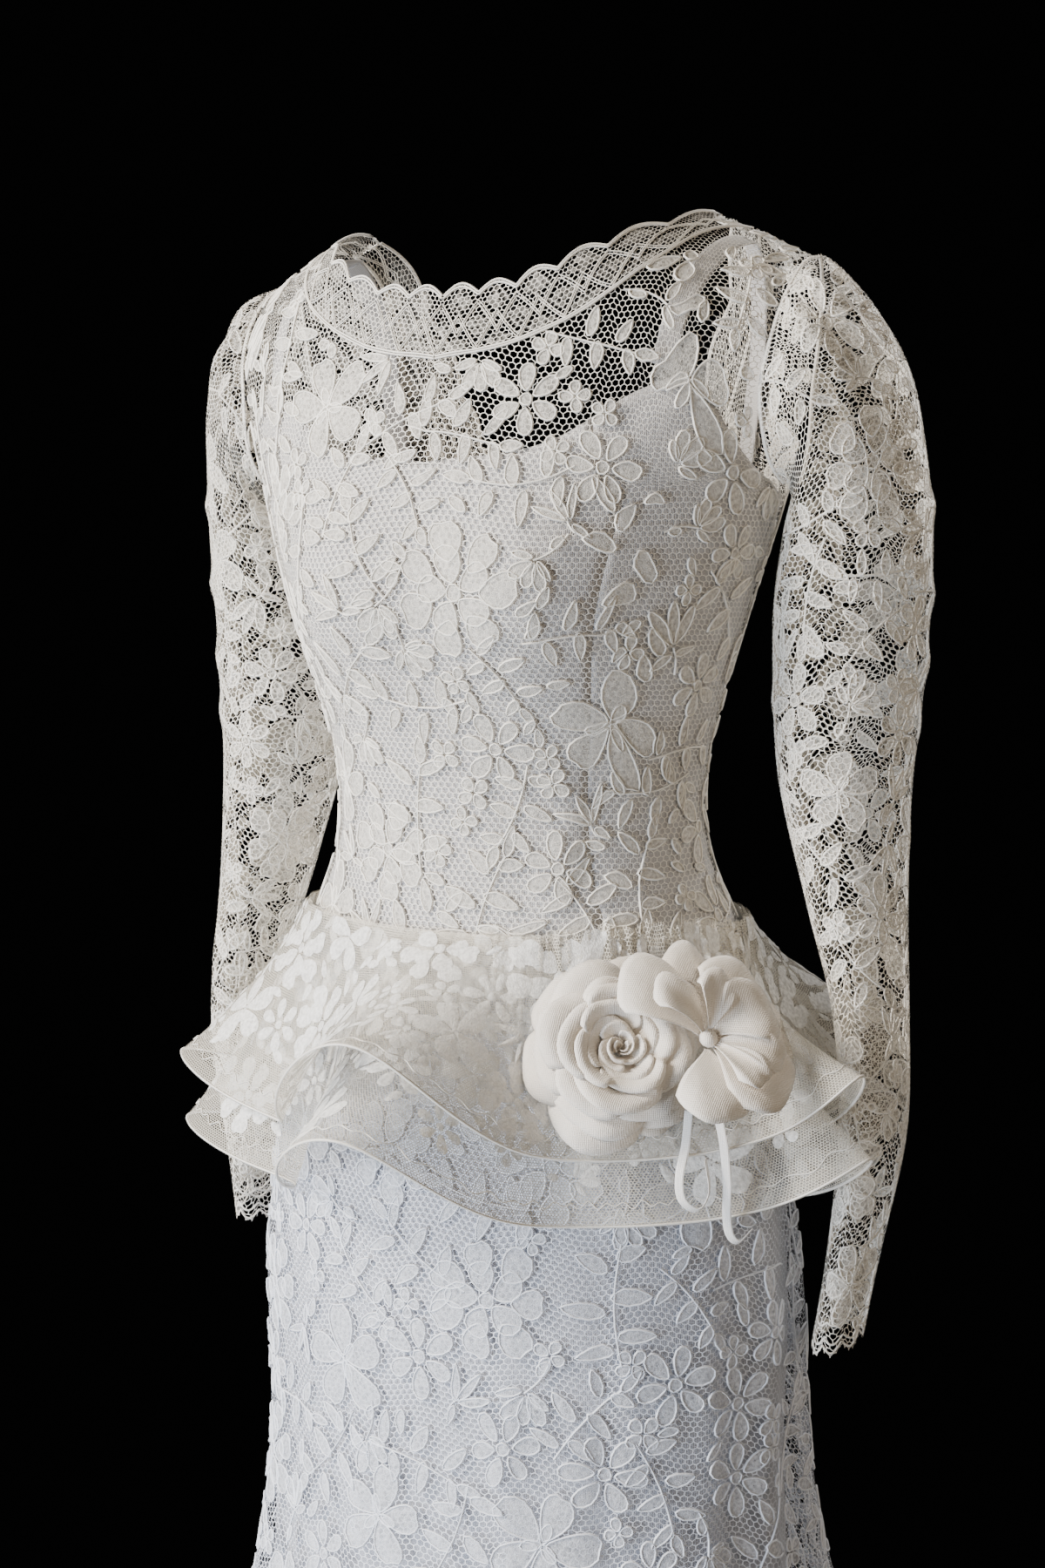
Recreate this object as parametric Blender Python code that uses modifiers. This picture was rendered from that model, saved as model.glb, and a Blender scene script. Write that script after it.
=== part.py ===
"""A long-sleeved lace wedding dress, filled out with no wearer, in metres.

The origin is the middle of the shoulder line, where a wearer's shoulders hold
the dress. +Z is up, the front faces -Y and the wearer's left is +X.
Every cloth piece is an open sheet that follows a function of its own sizes,
given its thickness by a Solidify modifier.
"""

import bmesh
import bpy
import numpy as np

# Walls and the gaps between them
LINING_WALL = 0.0012
LACE_WALL = 0.0012
TULLE_WALL = 0.0010
PETAL_WALL = 0.0010
SEAM_GAP = 0.0003
LACE_OUT = LINING_WALL + 0.0005

# Heights below the shoulder line
ARMPIT_Z = -0.158
WAIST_SEAM_Z = -0.420
HEM_Z = -1.420
LINING_HEM_Z = -1.390

# The shoulder
NECK_POINT_X = 0.116
NECK_POINT_Z = -0.004
SHOULDER_SLOPE = 0.46
SHOULDER_Y = 0.027
SHOULDER_ROUND = 0.070
YOKE_SHARE = 0.70
YOKE_HALF_WIDTH = 0.188
ARMHOLE_HALF_ANGLE = 66.0
ARMHOLE_ROUND = 0.055

# The dress round the body: height, half width, depth in front, depth behind
BODY = """
    z       half_width  front   back
    0.020   0.1880      0.080   0.080
   -0.050   0.1880      0.094   0.086
   -0.100   0.1810      0.108   0.088
   -0.158   0.1640      0.120   0.087
   -0.200   0.1510      0.123   0.082
   -0.240   0.1380      0.117   0.076
   -0.270   0.1290      0.108   0.072
   -0.340   0.1150      0.094   0.070
   -0.375   0.1180      0.092   0.080
   -0.420   0.1350      0.094   0.104
   -0.500   0.1550      0.108   0.124
   -0.620   0.1680      0.118   0.145
   -0.770   0.1660      0.125   0.204
   -0.850   0.1750      0.142   0.226
   -1.000   0.2150      0.176   0.276
   -1.200   0.2900      0.240   0.365
   -1.430   0.3800      0.318   0.480
"""

# The satin skirt lining is cut slimmer than the lace over it
LINING_SKIRT = """
    z       half_width  front   back
   -0.420   0.1350      0.094   0.104
   -0.500   0.1550      0.108   0.124
   -0.620   0.1665      0.117   0.143
   -0.770   0.1665      0.120   0.154
   -0.850   0.1690      0.126   0.162
   -1.200   0.2300      0.185   0.240
   -1.430   0.2750      0.225   0.290
"""

# The heights of the skirt's rows, which lace and lining share
SIDE_GAP = 0.0008
SKIRT_ROWS = (-0.421, -0.455, -0.50, -0.56, -0.62, -0.69, -0.77, -0.86, -1.0, -1.2, -1.42)

# Bust shaping from the cups and darts
CUP_DEPTH = 0.020
CUP_X = 0.070
CUP_Z = -0.225
CUP_SPREAD_X = 0.050
CUP_SPREAD_Z = 0.055

# Top edges of the panels, from the centre (0) to the armhole (1)
LACE_FRONT_TOP = """
    across  z
    0.00   -0.0900
    0.23   -0.0815
    0.47   -0.0540
    0.57   -0.0335
    0.64   -0.0188
    0.70   -0.0132
"""
LACE_BACK_TOP = """
    across  z
    0.00   -0.2050
    0.20   -0.2000
    0.40   -0.1680
    0.52   -0.1180
    0.60   -0.0640
    0.66   -0.0240
    0.70   -0.0132
"""
LINING_FRONT_TOP = """
    across  z
    0.00   -0.1460
    0.35   -0.1350
    0.62   -0.1060
    0.72   -0.1000
    0.85   -0.1150
    1.00   -0.1560
"""
LINING_BACK_TOP = """
    across  z
    0.00   -0.2150
    0.35   -0.2100
    0.58   -0.1900
    0.68   -0.1800
    1.00   -0.1600
"""

# The columns of every bodice panel, from the centre to the side. The front
# lining is cut at the princess seams.
PANEL_COLUMNS = (0, 0.18, 0.34, 0.47, 0.57, 0.64, 0.70, 0.85, 1.0)
PRINCESS = 0.47
PRINCESS_GAP = 0.0015
BACK_GAP = 0.0018
STRAP_UNDER = 0.0052
LINING_ROWS_UP = 8
YOKE_ROWS = 6

# The upper edge of the scalloped neck edging, from the centre to the shoulder
EDGING_FRONT = """
    along   x       z
    0.00    0.0002 -0.0500
    0.35    0.0450 -0.0450
    0.70    0.0900 -0.0230
    0.90    0.1120 -0.0070
    1.00    0.1165  0.0000
"""
EDGING_BACK = """
    along   x       z
    0.00    0.0004 -0.1720
    0.30    0.0370 -0.1660
    0.60    0.0660 -0.1320
    0.80    0.0880 -0.0780
    0.93    0.1080 -0.0220
    1.00    0.1165  0.0000
"""
EDGING_GAP = 0.0006
EDGING_CURVE_GAP = 0.0020
EDGING_END_GAP = 0.0012
SCALLOPS_FRONT = 6
SCALLOPS_BACK = 8
SCALLOP_COLUMNS = 3
EDGING_ROWS = 3
LADDER_ROW = 1
SCALLOP_DEPTH = 0.0060
EYELET_SHARE = 0.20

# The sleeve's rings, from the armhole to the wrist. Tilt turns a ring from
# upright, at the armhole, to level.
SLEEVE = """
    ring    x       y       z       tilt    half_out  half_deep
    0       0.1740  0.0000 -0.0950  90      0.0640    0.052
    1       0.1865  0.0080 -0.1055  78      0.0620    0.056
    2       0.1990  0.0160 -0.1275  59      0.0520    0.057
    3       0.2005  0.0220 -0.1600  38      0.0475    0.056
    4       0.1993  0.0270 -0.2050  24      0.0480    0.054
    5       0.1975  0.0290 -0.2650  12.5    0.0440    0.052
    6       0.1985  0.0226 -0.3300  0       0.0370    0.047
    7       0.2085  0.0180 -0.4000 -4       0.0275    0.041
    8       0.2190  0.0140 -0.4600 -4       0.0200    0.037
    9       0.2220  0.0120 -0.5300  0       0.0180    0.034
    10      0.2140  0.0070 -0.6000  4       0.0140    0.031
    11      0.2060  0.0030 -0.6500  6       0.0130    0.029
"""
# The right sleeve hangs this much closer in, and its wrist is this much higher
RIGHT_SLEEVE_IN = 0.012
RIGHT_WRIST_UP = 0.022
SLEEVE_UPPER_COLUMNS = 12
SLEEVE_UNDER_COLUMNS = 6
SLEEVE_ROWS_DOWN = 14
SLEEVE_SEAM = 0.0014
ARMHOLE_GAP = 0.0008
ARMPIT_CLEAR = 0.0045
SLEEVE_GATHER_DEPTH = 0.0030
CUFF_SCALLOPS = 8
CUFF_SCALLOP_DEPTH = 0.006

# The two peplum tiers: how far each lifts from hanging straight, round the
# waist from the centre front towards the wearer's left, in degrees
FLUTES = """
    angle   upper_lift  lower_lift
   -180     56          42
   -152     28          18
   -124     54          40
   -95      21          17
   -64      40          30
   -28      24          16
    3       71          56
    24      31          20
    45      27          18
    58      32          22
    65      39          29
    73      58          46
    84      27          18
    97      22          17
    124     54          40
    152     28          18
    180     56          42
"""
UPPER_TIER_LENGTH = 0.126
LOWER_TIER_LENGTH = 0.161
LOWER_TIER_OUT = 0.0045
UPPER_TIER_OUT = 0.0067
PEPLUM_HEADING = 0.008
PEPLUM_FRONT_COLUMNS = 32
PEPLUM_BACK_COLUMNS = 24
PEPLUM_ROWS = 4
PEPLUM_GATHERS = 32
PEPLUM_GATHER_DEPTH = 0.0012

# Soft folds of the lace skirt: where each lies, its spread and height at the
# hem, and the height at which it starts
SKIRT_FOLDS = """
    angle   spread  height  top
   -170     9       0.050  -0.60
   -148     8       0.042  -0.66
   -126     8       0.046  -0.58
   -104     7       0.036  -0.62
   -80      7       0.030  -0.70
   -56      8       0.030  -0.64
   -34      7       0.022  -0.74
   -12      7       0.024  -0.66
    10      7       0.020  -0.72
    33      8       0.026  -0.66
    58      8       0.026  -0.60
    82      8       0.050  -0.46
    103     8       0.060  -0.45
    126     8       0.050  -0.52
    149     8       0.044  -0.60
    172     9       0.052  -0.56
"""

# The two flowers: angle round the waist, height, how far they stand outside
# the seam, how far they tilt up, size
FLOWERS = """
    angle   z       stand   tilt    size
    39     -0.470   0.0416  28      0.051
    54     -0.461   0.0621  44      0.050
"""

# The layers of the front rose as shares of its size: petals, where the first
# starts and how many turns they make, radius and height at the base and the
# rim, how far the rim curls back and how far the coil grows
ROSE_LAYERS = """
    petals  start   turns   base    rim     lift    rise    curl    coil
    5       0.10    0.97    0.16    1.00    0.00    0.30    0.22    0.02
    5       0.72    0.97    0.13    0.74    0.02    0.50    0.10    0.02
    4       0.40    0.96    0.10    0.46    0.04    0.64    0.02    0.02
    3       0.00    0.92    0.07    0.20    0.06    0.72    0.00    0.02
"""
# The flower beside it opens away from the rose, round a covered button
FLOWER_LAYERS = """
    petals  start   turns   base    rim     lift    rise    curl    coil
    4      -0.23    0.54    0.14    1.00    0.00    0.22    0.12    0.02
    3      -0.19    0.46    0.11    0.72    0.02    0.38    0.08    0.02
"""
FLOWER_BEND_RADIUS = 0.20
BUTTON_RADIUS = 0.0052
BUTTON_STAND = 0.0036

# The ribbons under the flowers. Each row is a point: which ribbon, how far
# sideways of their middle, the height, and how far outside the waist seam.
RIBBON_ANGLE = 52
RIBBON_WIDTH = 0.0065
RIBBON_WALL = 0.0010
RIBBON_TURN = 50
RIBBON_PIECES = 14
RIBBONS = """
    ribbon  side    z       stand
    0      -0.0080 -0.5160  0.0661
    0      -0.0135 -0.5330  0.0691
    0      -0.0120 -0.5460  0.0701
    0      -0.0030 -0.5520  0.0721
    0       0.0030 -0.5420  0.0731
    0       0.0010 -0.5240  0.0721
    1       0.0105 -0.5160  0.0752
    1       0.0125 -0.5380  0.0760
    1       0.0140 -0.5560  0.0734
    1       0.0165 -0.5680  0.0724
    1       0.0225 -0.5735  0.0724
    1       0.0300 -0.5665  0.0744
"""

# Colours: red, green, blue
CREAM_LACE = (0.86, 0.83, 0.77)
WHITE_SATIN = (0.88, 0.88, 0.88)
PEPLUM_CREAM = (0.87, 0.85, 0.80)
PETAL_CREAM = (0.90, 0.85, 0.78)
RIBBON_WHITE = (0.91, 0.89, 0.86)


def columns(text):
    """The named columns of a table, as arrays."""
    names, *rows = [line.split() for line in text.strip().splitlines()]
    return dict(zip(names, np.array(rows, float).T))


def smooth(table, key, name, at):
    """A column of the table read off a smooth curve through its rows."""
    known, values = table[key], table[name]
    if known[0] > known[-1]:
        known, values = known[::-1], values[::-1]
    slopes = np.gradient(values, known)
    at = np.clip(at, known[0], known[-1])
    row = np.clip(np.searchsorted(known, at, side="right") - 1, 0, len(known) - 2)
    step = known[row + 1] - known[row]
    t = (at - known[row]) / step
    start, end = values[row], values[row + 1]
    rise_start, rise_end = slopes[row] * step, slopes[row + 1] * step
    return (
        (1 + 2 * t) * (1 - t) ** 2 * start
        + t * (1 - t) ** 2 * rise_start
        + t * t * (3 - 2 * t) * end
        + t * t * (t - 1) * rise_end
    )


BODY_ROWS = columns(BODY)
LINING_ROWS = columns(LINING_SKIRT)
SLEEVE_ROWS = columns(SLEEVE)
FLUTE_ROWS = columns(FLUTES)
FOLD_ROWS = columns(SKIRT_FOLDS)


def ease(t):
    """From 0 to 1 with level ends."""
    t = np.clip(t, 0, 1)
    return t * t * (3 - 2 * t)


# The bodice


def shoulder_line(x):
    """Height of the shoulder over a point across the body."""
    away = np.abs(x) - NECK_POINT_X
    return NECK_POINT_Z - np.where(away > 0, SHOULDER_SLOPE, 0.5) * away


def armhole_angle(z):
    """How far round the body a panel reaches, in radians, at a height."""
    t = np.clip((z - ARMPIT_Z) / ARMHOLE_ROUND, 0, 1)
    hooked = 1 - np.sqrt(1 - (1 - t) ** 2)
    return np.radians(ARMHOLE_HALF_ANGLE + (90 - ARMHOLE_HALF_ANGLE) * hooked)


def cups(x, z):
    """The bust cups' reach in front of the plain section."""
    height = np.exp(-(((z - CUP_Z) / CUP_SPREAD_Z) ** 2))
    left = np.exp(-(((x - CUP_X) / CUP_SPREAD_X) ** 2))
    right = np.exp(-(((x + CUP_X) / CUP_SPREAD_X) ** 2))
    return CUP_DEPTH * height * (left + right)


def bodice_point(side, angle, z):
    """A point on the bodice. side is -1 in front and 1 behind, and angle is
    round from the centre line in radians."""
    x = smooth(BODY_ROWS, "z", "half_width", z) * np.sin(angle)
    depth = smooth(BODY_ROWS, "z", "front" if side < 0 else "back", z)
    if side < 0:
        depth = depth + cups(x, z)
    below = np.clip((shoulder_line(x) - z) / SHOULDER_ROUND, 0, 1)
    rounded = np.clip(np.sqrt(1 - (1 - below) ** 2), 0.012, 1)
    y = side * depth * np.cos(angle) * rounded + SHOULDER_Y * (1 - rounded)
    return np.stack([x, y, z], -1)


def bodice_at(side, x, z):
    """A point on the bodice at a place across it and a height."""
    half_width = smooth(BODY_ROWS, "z", "half_width", z)
    return bodice_point(side, np.arcsin(np.clip(x / half_width, -1, 1)), z)


def lace_top(text, across):
    """The height of a lace panel's top edge: the neckline, then the shoulder."""
    neck = smooth(columns(text), "across", "z", np.abs(across))
    x = YOKE_HALF_WIDTH * np.sin(np.abs(across) * np.radians(ARMHOLE_HALF_ANGLE))
    return np.where(np.abs(across) >= YOKE_SHARE - 1e-6, shoulder_line(x), neck)


def panel_column(from_across, to_across, u):
    """Where the columns of a panel between two places across the body lie."""
    known = np.array([-place for place in PANEL_COLUMNS[:0:-1]] + list(PANEL_COLUMNS))
    low, high = sorted((from_across, to_across))
    held = known[(known > low - 0.01) & (known < high + 0.01)]
    held[0], held[-1] = low, high
    if from_across > to_across:
        held = held[::-1]
    return np.interp(u, np.linspace(0, 1, len(held)), held)


def bodice_panel(side, lining_top, lace_text, from_across, to_across):
    """The surface of a bodice panel between two places across the body, where
    0 is the centre and -1 and 1 are the side seams and armholes. A lace panel
    shares the lining's rows and goes on above them."""
    share = LINING_ROWS_UP / (LINING_ROWS_UP + YOKE_ROWS) if lace_text else 1.0
    bottom = WAIST_SEAM_Z + SEAM_GAP

    def surface(u, v):
        across = panel_column(from_across, to_across, u)
        middle = smooth(columns(lining_top), "across", "z", np.abs(across))
        z = bottom + (middle - bottom) * np.minimum(v / share, 1)
        if lace_text:
            above = np.clip((v - share) / (1 - share), 0, 1)
            z = z + (lace_top(lace_text, across) - middle) * np.sin(above * np.pi / 2)
        seam = SEAM_GAP / smooth(BODY_ROWS, "z", "half_width", z)
        angle = across * (armhole_angle(z) - seam)
        return bodice_point(side, angle, z)

    return surface


def strap(sign):
    """A lining strap over the shoulder, from the front lining to the back."""
    half_strap = 0.0055
    path = np.array([
        (0.1240, 0.0865),
        (0.1270, 0.0550),
        (0.1310, 0.0230),
        (0.1330, 0.0060),
        (0.1335, 0.0000),
        (0.1330, 0.0060),
        (0.1310, 0.0230),
        (0.1270, 0.0640),
        (0.1210, 0.1210),
        (0.1160, 0.1755),
    ])
    place = np.linspace(0, 1, len(path))

    def surface(u, v):
        x = np.interp(v, place, path[:, 0]) + (u - 0.5) * 2 * half_strap
        z = shoulder_line(x) - np.interp(v, place, path[:, 1])
        front = bodice_at(-1, x, z)
        back = bodice_at(1, x, z)
        point = np.where((v <= place[4] + 1e-6)[:, None], front, back)
        under = STRAP_UNDER * (0.25 + 0.75 * np.sin(np.pi * v) ** 0.5)
        point[:, 1] -= np.sign(point[:, 1] - SHOULDER_Y) * under
        point[:, 2] -= under
        return point * (sign, 1, 1)

    return surface


def neckline(side, lace_text, across):
    """Where the lace panel's top edge runs, from column to column."""
    held = np.array(PANEL_COLUMNS)
    z = lace_top(lace_text, held)
    points = bodice_point(side, held * armhole_angle(z), z)
    return np.interp(across, held, points[:, 0]), np.interp(across, held, points[:, 2])


def edging(side, lace_text, text, scallops, sign):
    """Half of the scalloped edging, from the centre to the shoulder."""
    rows = columns(text)

    def surface(u, v):
        held = np.array([place for place in PANEL_COLUMNS if place <= YOKE_SHARE])
        across = np.interp(u, np.linspace(0, 1, len(held)), held)
        along = across / YOKE_SHARE
        low_x, low_z = neckline(side, lace_text, across)
        high_x = smooth(rows, "along", "x", along)
        high_z = smooth(rows, "along", "z", along)
        wide = np.hypot(high_x - low_x, high_z - low_z)
        bump = SCALLOP_DEPTH * (np.abs(np.sin(np.pi * scallops * u)) - 0.7)
        gap = EDGING_GAP + EDGING_CURVE_GAP * along ** 2
        share = (gap * (1 - v) + v * (wide + bump)) / wide
        x = np.maximum(low_x + (high_x - low_x) * share, 0.0002)
        z = np.minimum(low_z + (high_z - low_z) * share, shoulder_line(x))
        point = bodice_at(side, x, z)
        point[:, 1] += side * EDGING_END_GAP * np.clip((u - 0.9) * 10, 0, 1)
        return point * (sign, 1, 1)

    return surface


# The sleeves


def armhole_edge(around):
    """The armhole's own line, which the sleeve is set into. around is 0 at the
    shoulder, a quarter in front and half at the armpit."""
    turn = 2 * np.pi * around
    rows = np.linspace(LINING_ROWS_UP / (LINING_ROWS_UP + YOKE_ROWS), 1, YOKE_ROWS + 1)
    edge = np.ones_like(rows)
    front = bodice_panel(-1, LINING_FRONT_TOP, LACE_FRONT_TOP, -1, 1)(edge, rows)
    back = bodice_panel(1, LINING_BACK_TOP, LACE_BACK_TOP, -1, 1)(edge, rows)
    middle = (front[0, 2] + front[-1, 2]) / 2
    z = middle + (front[-1, 2] - middle) * np.cos(turn)
    in_front = np.stack([np.interp(z, front[:, 2], front[:, axis]) for axis in range(3)], -1)
    behind = np.stack([np.interp(z, back[:, 2], back[:, axis]) for axis in range(3)], -1)
    point = np.where((np.sin(turn) >= 0)[:, None], in_front, behind)
    outward = point - (0, 0, middle)
    outward[:, 0] = 0
    outward = outward / np.linalg.norm(outward, axis=1)[:, None]
    moved = point + outward * LACE_OUT
    moved[:, 0] += LACE_OUT + ARMHOLE_GAP + ARMPIT_CLEAR * ease(-np.cos(turn) * 1.5)
    return moved


def sleeve(sign, from_around, to_around):
    """Half of a sleeve, cut along its length."""
    rings = SLEEVE_ROWS["ring"][-1]

    def surface(u, v):
        ring = (1 - v) * rings

        def at(name):
            return smooth(SLEEVE_ROWS, "ring", name, ring)

        kept = 1 - 4 * SLEEVE_SEAM / (2 * np.pi * at("half_out"))
        middle = (from_around + to_around) / 2
        around = middle + (to_around - from_around) * (u - 0.5) * kept

        turn = 2 * np.pi * around
        tilt = np.radians(at("tilt"))
        gather = SLEEVE_GATHER_DEPTH * np.cos(2 * np.pi * around * SLEEVE_UPPER_COLUMNS)
        gather = gather * np.clip(np.cos(turn) * 3, 0, 1) * ease(ring / 0.6)
        gather = gather * np.clip(1 - (ring - 0.6) / 2.4, 0, 1)
        out = (at("half_out") + gather) * np.cos(turn)
        deep = (at("half_deep") + gather) * np.sin(turn)
        scallop = CUFF_SCALLOP_DEPTH * np.abs(np.sin(np.pi * CUFF_SCALLOPS * around))
        drop = scallop * np.clip(ring - rings + 0.6, 0, 1) / 0.6
        arm = np.stack([
            at("x") + out * np.cos(tilt),
            at("y") - deep,
            at("z") + out * np.sin(tilt) - drop,
        ], -1)
        if sign < 0:
            outer = ease(ring / 2) * (0.5 + 0.5 * np.cos(turn))
            arm[:, 0] -= RIGHT_SLEEVE_IN * np.maximum(ease((ring - 3) / 3), outer)
            arm[:, 2] += RIGHT_WRIST_UP * ease((ring - 8) / 3)
        set_in = ease(1 - ring / 1.2)[:, None]
        start = armhole_edge(around)
        start[:, 0] += 0.012 * ring
        return (start * set_in + arm * (1 - set_in)) * (sign, 1, 1)

    return surface


# The skirt and the peplum


def skirt_folds(angle, z):
    """How far the lace skirt's folds stand out of its plain section."""
    total = np.zeros_like(z)
    for place, spread, height, top in zip(
        FOLD_ROWS["angle"], FOLD_ROWS["spread"], FOLD_ROWS["height"], FOLD_ROWS["top"]
    ):
        away = (np.degrees(angle) - place + 180) % 360 - 180
        reach = np.clip((top - z) / (top - HEM_Z), 0, 1) ** 1.3
        total = total + height * reach * np.exp(-((away / spread) ** 2))
    return total


def skirt_panel(rows, folded, middle, hem):
    """The surface of the front or back skirt panel, half way round the body
    from its middle's angle."""
    heights = np.array(SKIRT_ROWS[::-1])
    heights[0] = hem

    def held_in(name, z):
        return np.minimum(smooth(rows, "z", name, z), smooth(BODY_ROWS, "z", name, z))

    def surface(u, v):
        z = np.interp(v, np.linspace(0, 1, len(heights)), heights)
        half_width = held_in("half_width", z)
        reach = np.radians(90) - SIDE_GAP / half_width
        angle = np.radians(middle) + (2 * u - 1) * reach
        stand = skirt_folds(angle, z) if folded else 0
        depth = np.where(np.cos(angle) > 0, held_in("front", z), held_in("back", z))
        x = (half_width + stand) * np.sin(angle)
        y = -(depth + stand) * np.cos(angle)
        return np.stack([x, y, z], -1)

    return surface


def waist_point(degrees, stand, z):
    """A point outside the waist seam, at an angle round it."""
    angle = np.radians(degrees)
    level = np.full_like(angle, WAIST_SEAM_Z)
    half_width = smooth(BODY_ROWS, "z", "half_width", level)
    front = smooth(BODY_ROWS, "z", "front", level)
    back = smooth(BODY_ROWS, "z", "back", level)
    depth = np.where(np.cos(angle) > 0, front, back)
    x = (half_width + stand) * np.sin(angle)
    y = -(depth + stand) * np.cos(angle)
    return np.stack([x, y, z], -1)


def peplum_panel(length, lift_name, out, from_angle, to_angle):
    """Half of a peplum tier, from its gathered heading to its fluted hem."""

    def surface(u, v):
        down = 1 - v
        degrees = from_angle + (to_angle - from_angle) * u
        lift = np.radians(smooth(FLUTE_ROWS, "angle", lift_name, (degrees + 180) % 360 - 180))
        bend = lift * (0.45 + 0.55 * np.sqrt(down))
        reach = length * down * np.sin(bend)
        drop = length * down * np.cos(bend)
        gather = np.cos(PEPLUM_GATHERS * np.radians(degrees)) * 0.5 + 0.5
        gather = PEPLUM_GATHER_DEPTH * gather * (1 - down)
        z = WAIST_SEAM_Z + PEPLUM_HEADING - drop
        return waist_point(degrees, out + reach + gather, z)

    return surface


def flower_frame(flower):
    """A flower's middle and the ways it faces: outward, sideways and up."""
    turned, tilt = np.radians(flower["angle"]), np.radians(flower["tilt"])
    level = np.array([np.sin(turned), -np.cos(turned), 0.0])
    outward = level * np.cos(tilt) + np.array([0, 0, np.sin(tilt)])
    up = np.array([0, 0, np.cos(tilt)]) - level * np.sin(tilt)
    sideways = np.array([np.cos(turned), np.sin(turned), 0.0])
    middle = waist_point(np.array([flower["angle"]]), flower["stand"], np.array([flower["z"]]))[0]
    return middle, outward, sideways, up


def flower_layer(flower, layer):
    """The surface of one layer of a flower: a strip of petals, coiled."""
    middle, outward, sideways, up = flower_frame(flower)

    def surface(u, v):
        round_it = 2 * np.pi * (layer["start"] + layer["turns"] * u)
        lobe = np.abs(np.sin(np.pi * layer["petals"] * u)) ** 0.6
        radius = layer["base"] + (layer["rim"] - layer["base"]) * v * (0.84 + 0.16 * lobe)
        radius = radius + layer["coil"] * (u - 0.5) * (0.4 + 0.6 * v)
        height = layer["lift"] + layer["rise"] * v * (0.9 + 0.1 * lobe) - layer["curl"] * v ** 3
        aside = radius * flower["size"] * np.cos(round_it)
        above = radius * flower["size"] * np.sin(round_it)
        off = height * flower["size"] - aside ** 2 / (2 * FLOWER_BEND_RADIUS)
        return middle + np.outer(aside, sideways) + np.outer(above, up) + np.outer(off, outward)

    return surface


def ribbon(number):
    """The surface of a ribbon along its points, turned part way edge on."""
    table = columns(RIBBONS)
    mine = table["ribbon"] == number
    rows = {name: values[mine] for name, values in table.items()}
    rows["place"] = np.linspace(0, 1, mine.sum())
    angle = np.radians(RIBBON_ANGLE)
    outward = np.array([np.sin(angle), -np.cos(angle), 0.0])
    sideways = np.array([np.cos(angle), np.sin(angle), 0.0])
    level = np.array([WAIST_SEAM_Z])
    seam = waist_point(np.array([float(RIBBON_ANGLE)]), 0.0, level)[0]
    turn = np.radians(RIBBON_TURN)

    def surface(u, v):
        def at(name, place):
            return smooth(rows, "place", name, place)

        side, z = at("side", v), at("z", v)
        along_side = at("side", v + 0.01) - at("side", v - 0.01)
        along_z = at("z", v + 0.01) - at("z", v - 0.01)
        length = np.hypot(along_side, along_z)
        wide = (u - 0.5) * RIBBON_WIDTH
        side = side + wide * np.cos(turn) * -along_z / length
        z = z + wide * np.cos(turn) * along_side / length
        stand = at("stand", v) + wide * np.sin(turn)
        point = np.outer(side, sideways) + np.outer(stand, outward) + seam
        point[:, 2] = z
        return point

    return surface


# Building


def material(name, colour, roughness, sheen=0.0):
    made = bpy.data.materials.new(name)
    made.use_nodes = True
    shader = made.node_tree.nodes["Principled BSDF"]
    shader.inputs["Base Color"].default_value = (*colour, 1)
    shader.inputs["Roughness"].default_value = roughness
    shader.inputs["Metallic"].default_value = 0.0
    shader.inputs["Sheen Weight"].default_value = sheen
    return made


def sheet(name, surface, across, down, wall, cloth, collection, out=0.0, eyelet=None):
    """An open grid moved onto a surface, then out from it, with its eyelets
    cut, and given a wall. eyelet says whether a cell's column and row is cut."""
    bm = bmesh.new()
    bmesh.ops.create_grid(bm, x_segments=across, y_segments=down, size=0.5)
    flat = np.array([vertex.co[:2] for vertex in bm.verts]) + 0.5
    cut = []
    if eyelet:
        for face in bm.faces:
            middle = face.calc_center_median()
            column = int((middle.x + 0.5) * across)
            row = int((middle.y + 0.5) * down)
            if eyelet(column, row):
                cut.append(face)
    for vertex, point in zip(bm.verts, surface(flat[:, 0], flat[:, 1])):
        vertex.co = point
    bm.normal_update()
    moved = [vertex.co + vertex.normal * out for vertex in bm.verts]
    for vertex, point in zip(bm.verts, moved):
        vertex.co = point
    for face in cut:
        width = min(edge.calc_length() for edge in face.edges)
        bmesh.ops.inset_individual(bm, faces=[face], thickness=width * EYELET_SHARE)
    if cut:
        bmesh.ops.delete(bm, geom=cut, context="FACES")
    mesh = bpy.data.meshes.new(name)
    bm.normal_update()
    bm.to_mesh(mesh)
    bm.free()
    mesh.materials.append(cloth)
    mesh.shade_smooth()
    made = bpy.data.objects.new(name, mesh)
    collection.objects.link(made)
    solid = made.modifiers.new("wall", "SOLIDIFY")
    solid.thickness = wall
    solid.offset = 1
    return made


def ladder(column, row):
    """The edging's eyelets: one in each cell of its ladder row."""
    return row == LADDER_ROW


def cuff_row(count):
    """Eyelets in the second row up from the cuff's edge."""

    def eyelet(column, row):
        return row == 1 and 0 < column < count - 1

    return eyelet


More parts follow.
